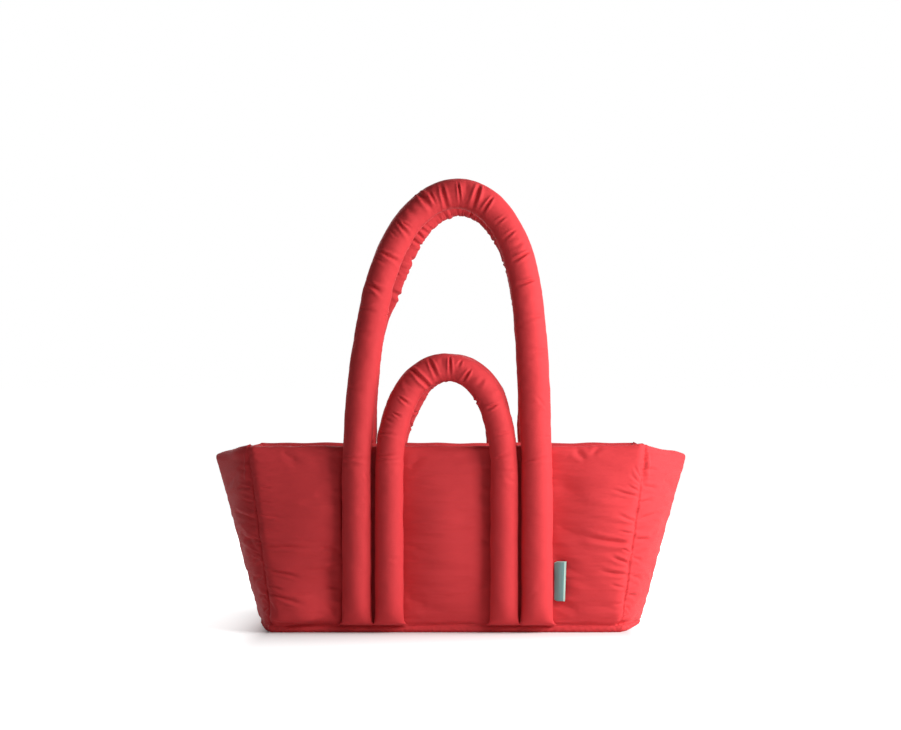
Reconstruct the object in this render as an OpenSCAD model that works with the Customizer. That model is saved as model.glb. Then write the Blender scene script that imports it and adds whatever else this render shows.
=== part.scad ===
// Padded tote bag with two long shoulder handles and two short hand handles.
// Millimetres. X runs along the width, -Y is the front, +Z is up. The origin is
// on the floor, in the middle of the base.
//
// The bag is a tapering box with six corners in plan: four at the ends of the
// front and rear panels, and one on the outward fold of each side gusset. Each
// wall is a sandwich of shell fabric, wadding and lining, mitred at the corners.

/* [Bag body] */
// Width of the front and rear panels at the rim, seam to seam
rim_w = 418; // [380:2:450]
// Width of the front and rear panels at the base seam
base_w = 376; // [340:2:410]
// Width over the two gusset folds, measured level with the rim
fold_rim_w = 498; // [470:2:540]
// Width over the two gusset folds at the base seam
fold_base_w = 394; // [380:2:430]
// Depth of the bag at the rim, front face to rear face
rim_d = 184; // [150:2:240]
// Depth of the bag at the base seam
base_d = 172; // [140:2:230]
// Height of the rim above the floor
bag_h = 196; // [160:2:260]
// How far the rim dips at the gusset folds
fold_dip = 12; // [0:1:24]
// Height of the seam between the walls and the base panel
seam_z = 8; // [6:1:14]
// How far the bottom edge of the base panel rounds inward
base_round = 5; // [2:0.5:8]

/* [Wall build-up] */
// Thickness of the shell fabric
shell_t = 1.2; // [0.8:0.1:2]
// Thickness of the wadding at the seams
wadding_t = 10; // [6:0.5:16]
// Thickness of the lining
lining_t = 1; // [0.6:0.1:1.6]
// How far the front and rear panels puff out between their seams
panel_puff = 7; // [0:0.5:12]
// How far each half of a gusset puffs out
gusset_puff = 5; // [0:0.5:10]
// Height of the soft roll along the rim
roll_h = 5; // [2:0.5:6]
// Depth of the shell facing inside the rim
facing_h = 38; // [24:1:60]

/* [Handles] */
// Distance between the legs of a long handle, centre to centre
long_span = 190; // [180:1:210]
// Height of a long handle's crown above its crease, to the middle of the tube
long_rise = 265; // [200:1:300]
// Radius of the crown of a long handle, at the middle of the tube
long_crown_r = 58; // [50:1:84]
// Radius of a long handle's tube
long_r = 16; // [12:0.5:17]
// Distance between the legs of a short handle, centre to centre
short_span = 121; // [100:1:123]
// Height of a short handle's crown above its crease, to the middle of the tube
short_rise = 79; // [66:1:110]
// Radius of the crown of a short handle, at the middle of the tube
short_crown_r = 45; // [30:1:48]
// Radius of a short handle's tube
short_r = 15.2; // [12:0.1:16]
// How far the sewn legs stand out from the panel
leg_out = 24; // [20:0.5:26]
// Height of the handle creases above the rim
crease_up = 2; // [1.5:0.5:10]
// How far the handles lean over the mouth as they stand
lean = 4; // [0:0.5:6]
// Travel of a long handle from rest towards its partner
long_inward = 14; // [0:1:14]
// Travel of a short handle from rest over the mouth
short_inward = 20; // [0:1:40]
// Clearance between a leg and the free part of its handle
crease_gap = 0.3; // [0.2:0.1:0.6]

/* [Side label] */
// How far the label stands out of its seam
label_w = 13; // [8:0.5:20]
// Height of the label
label_h = 42; // [20:1:60]
// Thickness of the folded label tape
label_t = 1; // [0.6:0.1:1.6]
// Height of the label's lower end above the base seam
label_up = 25; // [10:1:80]
// Angle of the label to the panel, as it lies
label_rest = 18; // [14:1:60]

/* [Inside] */
// Width of the slip pocket on the rear lining
pocket_w = 190; // [100:2:240]
// Height of the slip pocket
pocket_h = 118; // [60:2:130]
// Height of the pocket's bottom edge above the base lining
pocket_up = 16; // [4:1:30]
// Height of the hem on the pocket's mouth
pocket_hem_h = 14; // [8:1:24]
// Diameter of the two sew-on snap halves
snap_d = 19; // [14:0.5:24]
// Distance from the rim to the middle of each snap
snap_down = 20; // [14:1:26]

/* [Hidden] */
$fn = 96;

wall_t = shell_t + wadding_t + lining_t;
wall_top = bag_h - roll_h;
facing_z = bag_h - facing_h;
// Slope of the front and rear panels, which lean out towards the rim.
slope = atan((rim_d - base_d) / 2 / (bag_h - seam_z));
// The sewn legs end where the free handles begin.
leg_top = (bag_h + crease_up - seam_z) / cos(slope);
pivot_y = base_d / 2 + leg_top * sin(slope) + leg_out * cos(slope) + crease_gap;
pivot_z = bag_h + crease_up - leg_out * sin(slope) + crease_gap;
leg_edge = 1; // flat strip of panel left beside each leg for its stitching
lane_out = long_span / 2 + long_r + leg_edge;
lane_in = short_span / 2 - short_r - leg_edge;
lining_rows = 6; // steps up a wall from the base seam to the facing
facing_rows = 2; // steps up the facing to the top of the wall
puff_steps = 4; // steps across each puffed part of a panel
roll_steps = 8; // steps round the rim's roll
tube_sides = 16; // flats round a handle's tube
long_side_steps = 5; // rings along a long handle's side arc
long_crown_steps = 14; // rings round its crown
short_side_steps = 3; // rings along a short handle's side arc
short_crown_steps = 11; // rings round its crown
foot_r = 30; // radius that a leg rounds in with at its lower end
foot_h = 26; // height of that rounding
snap_t = 3.4; // thickness of a snap half
snap_edge_h = 1.2; // height of its upright edge
snap_chamfer = 1.6; // width of the slope from that edge up to its face
snap_pin_d = 6; // diameter of the stud in the middle of a snap
snap_pin_h = 1.6; // height of that stud
snap_play = 0.6; // clearance of the stud in its socket, in diameter
snap_floor = 1.8; // thickness left under the socket
sewn_gap = 0.05; // clearance of the pocket and the snaps from the cloth under them
base_knee = [0.3, 0.25]; // knee of the base's edge, as shares of base_round and seam_z
base_side = 0.6; // share of seam_z from which the base's edge stands upright
base_skin = 0.4; // share of shell_t that the inner knee lies higher
pocket_t = 1; // thickness of the pocket cloth
hem_t = 1.6; // thickness of the folded pocket hem
label_seam = 0.8; // distance of the label from the panel at its seam
label_off = 1.5; // distance of the label's fold from the edge of the leg's lane

fabric_red = "#d8434a";
lining_red = "#a8323c";
wadding_white = "#eeeae2";
label_teal = "#7d9c9b";
snap_grey = "#9a9da1";

// ---- Plan of the bag ----

function mix(a, b, s) = a + (b - a) * s;
function rise(z) = (z - seam_z) / (bag_h - seam_z);
function half_w(z) = mix(base_w, rim_w, rise(z)) / 2;
function half_d(z) = mix(base_d, rim_d, rise(z)) / 2;
function half_fold(z) = mix(fold_base_w, fold_rim_w, rise(z)) / 2;

// Front right corner of the plan at height z, moved inward by the depth d from
// both walls that meet there.
function corner_point(z, d) =
    let (w = half_w(z), e = half_d(z), run = half_fold(z) - w,
         span = sqrt(run * run + e * e),
         normal = [-e, run] / span, along = [run, e] / span,
         s = d * (1 - normal[1]) / along[1])
    [w + d * normal[0] + s * along[0], -e + d, z];

// Point of the right gusset's fold at height z, moved inward by the depth d.
function fold_point(z, d) =
    let (w = half_w(z), e = half_d(z), run = half_fold(z) - w,
         span = sqrt(run * run + e * e),
         normal = [-e, run] / span, along = [run, e] / span,
         s = (e - d * normal[1]) / along[1])
    [w + d * normal[0] + s * along[0], 0, z];

// Height at the fold that goes with height z at the corners: the rim dips there,
// and the levels below it close up with it.
function dipped(z) = z > wall_top ? z - fold_dip :
    seam_z + (z - seam_z) * (wall_top - fold_dip - seam_z) / (wall_top - seam_z);

// Point of the right gusset, level z of its corners, at depth d. t runs from 0 at
// the front corner over 1 at the fold to 2 at the rear corner.
function gusset_point(t, z, d) =
    let (s = t > 1 ? 2 - t : t, p = mix(corner_point(z, d), fold_point(dipped(z), d), s))
    [p[0], t > 1 ? -p[1] : p[1], p[2]];

// Levels of the wall's rows. All its layers share them, so that they meet face to face.
lining_levels = [for (i = [0:lining_rows]) mix(seam_z, facing_z, i / lining_rows)];
facing_levels = [for (i = [0:facing_rows]) mix(facing_z, wall_top, i / facing_rows)];
wall_levels = concat(lining_levels, [for (i = [1:facing_rows]) facing_levels[i]]);

// ---- Padded panels ----

// Swell of a puffed part: none on its edges, full in its middle.
function swell(s, v) = sin(180 * s) * (1 - pow(abs(2 * v - 1), 3));

// Columns of the front panel: [zone, s]. Zone 0 is the left puff, 1 the middle
// puff between the short legs, 2 the right puff. The flat lanes lie between.
front_columns = [for (zone = [0:2]) for (i = [0:puff_steps]) [zone, i / puff_steps]];
// The flat lining needs only its two edges.
flat_columns = [[0, 0], [2, 1]];

function front_x(col, z, d) =
    let (edge = corner_point(z, d)[0])
    col[0] == 0 ? mix(-edge, -lane_out, col[1]) :
    col[0] == 1 ? mix(-lane_in, lane_in, col[1]) : mix(lane_out, edge, col[1]);

// Grid of points on the front panel at depth d. puffed is 1 for a face that
// follows the puff of the shell.
function front_grid(d, levels, puffed, columns = front_columns) = [
    for (z = levels) let (v = (z - seam_z) / (wall_top - seam_z)) [
        for (col = columns)
            [front_x(col, z, d), corner_point(z, d)[1] - puffed * panel_puff * swell(col[1], v), z]
    ]
];

// Grid of points on the right gusset, from the front corner over the fold to the
// rear corner.
function gusset_grid(d, levels, puffed) = [
    for (z = levels) let (v = (z - seam_z) / (wall_top - seam_z)) [
        for (i = [0:2 * puff_steps]) let (t = i / puff_steps)
            gusset_point(t, z, d) + [puffed * gusset_puff * swell(t > 1 ? 2 - t : t, v), 0, 0]
    ]
];

// Closed solid between two grids with as many rows and columns.
module slab(outer, inner) {
    n_r = len(outer);
    n_c = len(outer[0]);
    size = n_r * n_c;
    points = concat([for (row = outer) for (p = row) p], [for (row = inner) for (p = row) p]);
    function at(r, c) = r * n_c + c;
    faces = concat(
        [for (r = [0:n_r - 2]) for (c = [0:n_c - 2]) each [
            [at(r, c), at(r + 1, c), at(r + 1, c + 1)],
            [at(r, c), at(r + 1, c + 1), at(r, c + 1)]]],
        [for (r = [0:n_r - 2]) for (c = [0:n_c - 2]) each [
            [size + at(r, c), size + at(r + 1, c + 1), size + at(r + 1, c)],
            [size + at(r, c), size + at(r, c + 1), size + at(r + 1, c + 1)]]],
        [for (c = [0:n_c - 2]) each [
            [at(0, c), at(0, c + 1), size + at(0, c + 1)],
            [at(0, c), size + at(0, c + 1), size + at(0, c)]]],
        [for (c = [0:n_c - 2]) each [
            [at(n_r - 1, c), size + at(n_r - 1, c), at(n_r - 1, c + 1)],
            [size + at(n_r - 1, c), size + at(n_r - 1, c + 1), at(n_r - 1, c + 1)]]],
        [for (r = [0:n_r - 2]) each [
            [at(r, 0), size + at(r + 1, 0), at(r + 1, 0)],
            [at(r, 0), size + at(r, 0), size + at(r + 1, 0)]]],
        [for (r = [0:n_r - 2]) each [
            [at(r, n_c - 1), at(r + 1, n_c - 1), size + at(r + 1, n_c - 1)],
            [at(r, n_c - 1), size + at(r + 1, n_c - 1), size + at(r, n_c - 1)]]]
    );
    polyhedron(points, faces, convexity = 6);
}

// Half of the base's outline at depth d, from the front right corner over the
// fold to the rear right corner.
function base_half(d) = [for (t = [0:2]) gusset_point(t, seam_z, d)];
function turned(points) = [for (p = points) [-p[0], -p[1], p[2]]];

// Solid stack of six-cornered rings, each [depth, height], with both ends closed.
module ring_stack(rings) {
    points = [for (q = rings) for (p = concat(base_half(q[0]), turned(base_half(q[0])))) [p[0], p[1], q[1]]];
    n = len(points) / len(rings);
    last = (len(rings) - 1) * n;
    faces = concat(
        [[for (i = [0:n - 1]) i]],
        [[for (i = [n - 1:-1:0]) last + i]],
        [for (r = [0:len(rings) - 2]) for (i = [0:n - 1]) let (j = (i + 1) % n) each [
            [r * n + i, (r + 1) * n + i, (r + 1) * n + j],
            [r * n + i, (r + 1) * n + j, r * n + j]]]
    );
    polyhedron(points, faces, convexity = 4);
}

// Closed band round the rim with the section given as [depth, level]. It has a
// station at each column of the gussets, first up the right side and then, turned
// half round, up the left.
module rim_band(section) {
    half = [for (i = [0:2 * puff_steps]) [for (q = section) gusset_point(i / puff_steps, q[1], q[0])]];
    stations = concat(half, [for (station = half) turned(station)]);
    n = len(stations);
    m = len(section);
    // Each face is split as the gusset under it is, which is mirrored on the left.
    faces = [for (i = [0:n - 1]) for (k = [0:m - 1])
        let (j = (i + 1) % n, l = (k + 1) % m, a = i * m + k, b = j * m + k, c = j * m + l, d = i * m + l)
        each i < n / 2 ? [[a, b, c], [a, c, d]] : [[a, b, d], [b, c, d]]];
    polyhedron([for (station = stations) for (p = station) p], faces, convexity = 6);
}

module front_slab(d0, d1, levels, puffed0 = 0, puffed1 = 0, columns = front_columns)
    slab(front_grid(d0, levels, puffed0, columns), front_grid(d1, levels, puffed1, columns));

module right_slab(d0, d1, levels, puffed0 = 0, puffed1 = 0)
    slab(gusset_grid(d0, levels, puffed0), gusset_grid(d1, levels, puffed1));

module to_rear() mirror([0, 1, 0]) children();
module to_left() mirror([1, 0, 0]) children();

// Depths of the faces between the layers of a wall.
wadding_d = shell_t;
lining_d = wall_t - lining_t;

module shell_wall_front() color(fabric_red) front_slab(0, wadding_d, wall_levels, 1, 1);
module wadding_wall_front() color(wadding_white) front_slab(wadding_d, lining_d, wall_levels, 1, 0);
module lining_wall_front() color(lining_red)
    front_slab(lining_d, wall_t, lining_levels, columns = flat_columns);

module shell_wall_right() color(fabric_red) right_slab(0, wadding_d, wall_levels, 1, 1);
module wadding_wall_right() color(wadding_white) right_slab(wadding_d, lining_d, wall_levels, 1, 0);
module lining_wall_right() color(lining_red) right_slab(lining_d, wall_t, lining_levels);

module front_shell() shell_wall_front();
module rear_shell() to_rear() shell_wall_front();
module right_gusset_shell() shell_wall_right();
module left_gusset_shell() to_left() shell_wall_right();
module front_wadding() wadding_wall_front();
module rear_wadding() to_rear() wadding_wall_front();
module right_gusset_wadding() wadding_wall_right();
module left_gusset_wadding() to_left() wadding_wall_right();
module front_lining() lining_wall_front();
module rear_lining() to_rear() lining_wall_front();
module right_gusset_lining() lining_wall_right();
module left_gusset_lining() to_left() lining_wall_right();

base_outer_knee = [base_round * base_knee[0], seam_z * base_knee[1]];
base_inner_knee = base_outer_knee + [shell_t, shell_t * base_skin];

// The base panel is a shallow tray of shell fabric with its own wadding, and the
// walls stand on it.
module base_shell() color(fabric_red) ring_stack([
    [base_round, 0], base_outer_knee, [0, seam_z * base_side], [0, seam_z],
    [shell_t, seam_z], [shell_t, seam_z * base_side], base_inner_knee,
    [base_round + shell_t, shell_t]
]);
module base_wadding() color(wadding_white) ring_stack([
    [base_round + shell_t, shell_t], base_inner_knee,
    [shell_t, seam_z * base_side], [shell_t, seam_z]
]);
module base_lining() color(lining_red) ring_stack([[wall_t, seam_z], [wall_t, seam_z + lining_t]]);

// Shell fabric that rolls over the rim and runs down inside to the lining.
module rim_facing() color(fabric_red) rim_band(concat(
    [for (i = [0:roll_steps]) let (a = 180 * i / roll_steps)
        [wall_t / 2 * (1 - cos(a)), wall_top + roll_h * sin(a)]],
    [[wall_t, facing_z]],
    [for (z = facing_levels) [lining_d, z]],
    [[wadding_d, wall_top]]
));

// ---- Handles ----

// Places its children on the outer face of the front panel, on the base seam,
// with Z up the slope and -Y out of the panel.
module on_front_face() translate([0, -base_d / 2, seam_z]) rotate([slope, 0, 0]) children();

// Side outline of a sewn leg, as [distance out, height], rounded in at its foot.
module leg_side(out, bottom, top, foot) {
    translate([0, foot_h]) square([out, top - foot_h]);
    intersection() {
        translate([out - foot, foot_h]) circle(foot);
        translate([0, bottom]) square([out, foot_h - bottom]);
    }
}

// Solid of a sewn leg, made smaller all round by inset.
module leg_solid(r, inset) {
    intersection() {
        linear_extrude(height = leg_top) intersection() {
            translate([0, r - leg_out]) circle(r - inset);
            translate([-r, -leg_out]) square([2 * r, leg_out - inset]);
        }
        translate([-r, 0, 0]) rotate([90, 0, 90]) linear_extrude(height = 2 * r)
            mirror([1, 0]) leg_side(leg_out - inset, inset, leg_top, foot_r - inset);
    }
}

module leg_shell(r) difference() {
    leg_solid(r, 0);
    leg_solid(r, shell_t);
}

module front_leg(r, x) color(fabric_red) on_front_face() translate([x, 0, 0]) leg_shell(r);

module front_cores() color(wadding_white) on_front_face()
    for (side = [-1, 1]) {
        translate([side * long_span / 2, 0, 0]) leg_solid(long_r, shell_t);
        translate([side * short_span / 2, 0, 0]) leg_solid(short_r, shell_t);
    }

module front_long_leg_left() front_leg(long_r, -long_span / 2);
module front_long_leg_right() front_leg(long_r, long_span / 2);
module front_short_leg_left() front_leg(short_r, -short_span / 2);
module front_short_leg_right() front_leg(short_r, short_span / 2);
module rear_long_leg_left() to_rear() front_leg(long_r, -long_span / 2);
module rear_long_leg_right() to_rear() front_leg(long_r, long_span / 2);
module rear_short_leg_left() to_rear() front_leg(short_r, -short_span / 2);
module rear_short_leg_right() to_rear() front_leg(short_r, short_span / 2);
module front_leg_cores() front_cores();
module rear_leg_cores() to_rear() front_cores();

// Middle line of a three-centred arch, from its right foot to its left one: two long
// side arcs that start upright, and a crown arc that meets both without a corner.
// Each entry is [x, z, angle of the tube's own direction from level].
function arch_line(span, rise_h, crown_r, side_steps, crown_steps) =
    let (up = rise_h - crown_r,
         side_r = (pow(span / 2, 2) + up * up - crown_r * crown_r) / (span - 2 * crown_r),
         cx = span / 2 - side_r, turn = atan2(up, -cx),
         right = [for (i = [0:side_steps]) let (a = turn * i / side_steps)
             [cx + side_r * cos(a), side_r * sin(a), a]],
         crown = [for (i = [1:crown_steps - 1]) let (a = mix(turn, 180 - turn, i / crown_steps))
             [crown_r * cos(a), up + crown_r * sin(a), a]],
         left = [for (i = [side_steps:-1:0]) [-right[i][0], right[i][1], 180 - right[i][2]]])
    concat(right, crown, left);

// Rings of points round that line at radius r. The two end rings lie in the plane
// that rises by the angle cut from the front of a tube of radius r_front.
function tube_rings(line, r, r_front, cut) = [
    for (i = [0:len(line) - 1]) let (q = line[i], end = i == 0 || i == len(line) - 1) [
        for (k = [0:tube_sides - 1])
            let (a = 360 * k / tube_sides, y = r * sin(a))
            [q[0] + r * cos(a) * cos(q[2]), y,
             end ? (y + r_front) * tan(cut) : q[1] + r * cos(a) * sin(q[2])]
    ]
];

function ring_faces(start, rings_n, flip) = [
    for (i = [0:rings_n - 2]) for (k = [0:tube_sides - 1])
        let (l = (k + 1) % tube_sides, p = start + i * tube_sides, q = p + tube_sides)
        each flip
            ? [[p + k, p + l, q + l], [p + k, q + l, q + k]]
            : [[p + k, q + l, p + l], [p + k, q + k, q + l]]
];

function flat(rings) = [for (ring = rings) for (p = ring) p];

// Hollow tube between two sets of rings, with its two ends closed by flat annuli.
module hollow_tube(outer, inner) {
    n = len(outer);
    start = n * tube_sides;
    last = (n - 1) * tube_sides;
    ends = [for (k = [0:tube_sides - 1]) let (l = (k + 1) % tube_sides) each [
        [k, l, start + l], [k, start + l, start + k],
        [last + k, start + last + l, last + l], [last + k, start + last + k, start + last + l]]];
    polyhedron(concat(flat(outer), flat(inner)),
        concat(ring_faces(0, n, false), ring_faces(start, n, true), ends), convexity = 8);
}

// Solid tube inside a set of rings.
module solid_tube(rings) {
    n = len(rings);
    polyhedron(flat(rings), concat(ring_faces(0, n, false),
        [[for (k = [0:tube_sides - 1]) k]],
        [[for (k = [tube_sides - 1:-1:0]) (n - 1) * tube_sides + k]]), convexity = 8);
}

// Stands a free handle over its crease, leaning in, with the front of its tube of
// radius r on the hinge line.
module on_crease(r) translate([0, -pivot_y, pivot_z]) rotate([-lean, 0, 0]) translate([0, r, 0]) children();

long_line = arch_line(long_span, long_rise, long_crown_r, long_side_steps, long_crown_steps);
short_line = arch_line(short_span, short_rise, short_crown_r, short_side_steps, short_crown_steps);

// The ends of a free handle are cut back towards the bag, so that it can lean in
// by the angle inward until they meet the tops of its legs.
function end_cut(inward) = lean + inward + slope;
module handle_shell(line, r, inward) color(fabric_red) on_crease(r) hollow_tube(
    tube_rings(line, r, r, end_cut(inward)), tube_rings(line, r - shell_t, r, end_cut(inward)));
module handle_core(line, r, inward) color(wadding_white) on_crease(r)
    solid_tube(tube_rings(line, r - shell_t, r, end_cut(inward)));

module long_handle() handle_shell(long_line, long_r, long_inward);
module long_handle_core() handle_core(long_line, long_r, long_inward);
module short_handle() handle_shell(short_line, short_r, short_inward);
module short_handle_core() handle_core(short_line, short_r, short_inward);

module front_long_handle() long_handle();
module front_long_handle_core() long_handle_core();
module rear_long_handle() to_rear() long_handle();
module rear_long_handle_core() to_rear() long_handle_core();
module front_short_handle() short_handle();
module front_short_handle_core() short_handle_core();
module rear_short_handle() to_rear() short_handle();
module rear_short_handle_core() to_rear() short_handle_core();

// ---- Label, pocket and snap ----

// Folded tape that stands out of the seam on the outer side of the right long leg.
module side_label() color(label_teal) on_front_face()
    translate([lane_out + label_off, -label_seam, label_up]) rotate([0, 0, -label_rest])
        translate([0, -label_t, 0]) cube([label_w, label_t, label_h]);

// Places its children on the inner face of the rear wall at height z, with -Y
// out of the lining into the bag.
module on_rear_lining(z) translate([0, half_d(z) - wall_t - sewn_gap, z]) rotate([-slope, 0, 0]) children();

module pocket_panel() color(lining_red) on_rear_lining(seam_z + lining_t + pocket_up)
    translate([-pocket_w / 2, -pocket_t, 0]) cube([pocket_w, pocket_t, pocket_h - pocket_hem_h]);

module pocket_hem() color(fabric_red) on_rear_lining(seam_z + lining_t + pocket_up)
    translate([-pocket_w / 2, -hem_t, pocket_h - pocket_hem_h]) cube([pocket_w, hem_t, pocket_hem_h]);

module snap_disc() rotate([90, 0, 0]) rotate_extrude() polygon([
    [0, 0], [snap_d / 2, 0], [snap_d / 2, snap_edge_h], [snap_d / 2 - snap_chamfer, snap_t], [0, snap_t]
]);

module snap_socket_half() color(snap_grey) on_rear_lining(bag_h - snap_down) difference() {
    snap_disc();
    translate([0, -snap_floor, 0]) rotate([90, 0, 0]) cylinder(d = snap_pin_d + snap_play, h = snap_t);
}

module snap_stud_half() color(snap_grey) to_rear() on_rear_lining(bag_h - snap_down) {
    snap_disc();
    translate([0, -snap_t, 0]) rotate([90, 0, 0]) cylinder(d = snap_pin_d, h = snap_pin_h);
}

front_shell();
rear_shell();
left_gusset_shell();
right_gusset_shell();
base_shell();
front_wadding();
rear_wadding();
left_gusset_wadding();
right_gusset_wadding();
base_wadding();
front_lining();
rear_lining();
left_gusset_lining();
right_gusset_lining();
base_lining();
rim_facing();
front_long_leg_left();
front_long_leg_right();
front_short_leg_left();
front_short_leg_right();
rear_long_leg_left();
rear_long_leg_right();
rear_short_leg_left();
rear_short_leg_right();
front_leg_cores();
rear_leg_cores();
front_long_handle();
front_long_handle_core();
rear_long_handle();
rear_long_handle_core();
front_short_handle();
front_short_handle_core();
rear_short_handle();
rear_short_handle_core();
side_label();
pocket_panel();
pocket_hem();
snap_stud_half();
snap_socket_half();
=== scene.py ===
import math

import bpy
import numpy as np
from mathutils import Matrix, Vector


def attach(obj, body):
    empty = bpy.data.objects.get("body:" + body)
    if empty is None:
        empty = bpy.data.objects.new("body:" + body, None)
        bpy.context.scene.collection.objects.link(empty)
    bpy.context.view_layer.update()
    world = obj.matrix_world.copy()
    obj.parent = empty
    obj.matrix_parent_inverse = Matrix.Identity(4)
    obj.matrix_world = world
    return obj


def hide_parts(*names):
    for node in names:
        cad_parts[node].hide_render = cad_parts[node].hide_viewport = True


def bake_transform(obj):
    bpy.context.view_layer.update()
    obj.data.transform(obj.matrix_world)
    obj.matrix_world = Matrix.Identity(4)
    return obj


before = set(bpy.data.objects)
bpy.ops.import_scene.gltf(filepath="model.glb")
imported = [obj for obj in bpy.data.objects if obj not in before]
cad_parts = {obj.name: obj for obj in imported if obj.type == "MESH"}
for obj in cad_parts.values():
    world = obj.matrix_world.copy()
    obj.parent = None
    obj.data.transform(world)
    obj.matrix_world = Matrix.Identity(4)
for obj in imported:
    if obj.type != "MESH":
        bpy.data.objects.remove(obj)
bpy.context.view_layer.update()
bpy.ops.object.select_all(action="DESELECT")
stage = bpy.context.scene
mm = 0.001
print("frame loaded:", len(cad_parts), "nodes")


def smooth(x):
    x = np.clip(x, 0.0, 1.0)
    return x * x * (3 - 2 * x)


def readPoints(mesh):
    flat = np.zeros(len(mesh.vertices) * 3, np.float32)
    mesh.vertices.foreach_get("co", flat)
    return flat.reshape(-1, 3).astype(float)


def writePoints(mesh, points):
    mesh.vertices.foreach_set("co", np.asarray(points, np.float32).ravel())
    mesh.update()


def pickOnly(piece):
    bpy.ops.object.select_all(action="DESELECT")
    piece.select_set(True)
    bpy.context.view_layer.objects.active = piece


def editAll(piece):
    pickOnly(piece)
    bpy.ops.object.mode_set(mode="EDIT")
    bpy.ops.mesh.select_all(action="SELECT")


def stopEdit():
    bpy.ops.object.mode_set(mode="OBJECT")


def applyAll(piece):
    pickOnly(piece)
    for modifier in list(piece.modifiers):
        bpy.ops.object.modifier_apply(modifier=modifier.name)


def thicken(piece, thickness, offset=-1):
    modifier = piece.modifiers.new("thickness", "SOLIDIFY")
    modifier.thickness = thickness
    modifier.offset = offset
    modifier.use_even_offset = False
    applyAll(piece)


# Gives a piece its cloth, hides the frame's nodes that it stands for, and shades it smoothly up to an angle in
# degrees.
def finishPiece(piece, cloth, slot, angle, *nodes):
    piece.data.materials.clear()
    piece.data.materials.append(materials[cloth])
    if nodes:
        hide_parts(*nodes)
    pickOnly(piece)
    bpy.ops.object.shade_smooth_by_angle(angle=math.radians(angle))


# Cloth cut as a grid of points [row][column]: around closes the columns into a ring.
# Its UV map is the cut's own size in metres, so that a weave keeps its scale.
def sewGrid(name, grid, around=False, caps=False, flip=False):
    rows, columns = grid.shape[:2]
    span = columns if around else columns - 1
    faces, uvs = [], []
    stepU = np.linalg.norm(np.diff(np.concatenate([grid, grid[:, :1]], 1), axis=1), axis=2).mean(0)
    stepV = np.linalg.norm(np.diff(grid, axis=0), axis=2).mean(1)
    alongU = np.concatenate([[0], np.cumsum(stepU)])
    alongV = np.concatenate([[0], np.cumsum(stepV)])
    for r in range(rows - 1):
        for c in range(span):
            n = (c + 1) % columns
            loop = [(r * columns + c, c, r), (r * columns + n, c + 1, r),
                    ((r + 1) * columns + n, c + 1, r + 1), ((r + 1) * columns + c, c, r + 1)]
            if flip:
                loop.reverse()
            faces.append([k[0] for k in loop])
            uvs.extend((alongU[k[1]], alongV[k[2]]) for k in loop)
    if caps:
        for r, back in ((0, not flip), (rows - 1, flip)):
            ring = [(r * columns + c, c) for c in range(columns)]
            if back:
                ring.reverse()
            faces.append([k[0] for k in ring])
            uvs.extend((grid[r, k[1], 0], grid[r, k[1], 1]) for k in ring)
    mesh = bpy.data.meshes.new(name)
    mesh.from_pydata(grid.reshape(-1, 3).tolist(), [], faces)
    layer = mesh.uv_layers.new(name="cut")
    layer.data.foreach_set("uv", np.array(uvs, np.float32).ravel())
    mesh.update()
    piece = bpy.data.objects.new(name, mesh)
    stage.collection.objects.link(piece)
    return piece


# Puts the points of a piece in a vertex group, with weights in steps of a hundredth.
def weigh(piece, name, weights):
    group = piece.vertex_groups.new(name=name)
    weights = np.round(weights.ravel(), 2)
    for weight in np.unique(weights):
        if weight > 0:
            group.add(np.nonzero(weights == weight)[0].tolist(), float(weight), "REPLACE")


blowing = {"quality": 5, "stretch": 15, "shear": 5}   # alike for all the cloth that is blown up


# Blows up a grid of cloth. It starts as it was cut, and its sewn points are carried to
# where they are on the bag, so that spare cloth has to crumple between them.
def inflate(name, cut, made, sewn, care, around=False, spare=None):
    piece = sewGrid(name, cut, around)
    pickOnly(piece)
    piece.shape_key_add(name="asCut")
    key = piece.shape_key_add(name="asSewn")
    key.data.foreach_set("co", made.reshape(-1, 3).astype(np.float32).ravel())
    weigh(piece, "sewn", sewn)
    cloth = piece.modifiers.new("cloth", "CLOTH")
    settings = cloth.settings
    settings.vertex_group_mass = "sewn"
    settings.quality = blowing["quality"]
    settings.tension_stiffness = settings.compression_stiffness = blowing["stretch"]
    settings.shear_stiffness = blowing["shear"]
    settings.bending_stiffness = care["bend"]
    settings.use_pressure = True
    settings.uniform_pressure_force = care["pressure"]
    settings.effector_weights.gravity = 0
    if spare is not None:
        most = max(spare.max(), 1e-9)
        weigh(piece, "spare", spare / most)
        settings.vertex_group_shrink = "spare"
        settings.shrink_min = 0
        settings.shrink_max = -float(spare.max())
    cloth.collision_settings.use_collision = False
    cloth.point_cache.frame_start = 1
    cloth.point_cache.frame_end = care["frames"]
    stage.frame_start, stage.frame_end = 1, care["frames"]
    for number in range(1, care["frames"] + 1):
        key.value = float(smooth((number - 1) / care["carry"]))
        stage.frame_set(number)
    shown = piece.evaluated_get(bpy.context.evaluated_depsgraph_get())
    blown = readPoints(shown.to_mesh()).reshape(made.shape)
    shown.to_mesh_clear()
    bpy.data.objects.remove(piece)
    stage.frame_set(1)
    moved = blown - made
    length = np.linalg.norm(moved, axis=2, keepdims=True) + 1e-12
    return made + moved / length * care["cap"] * np.tanh(length / care["cap"])


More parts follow.
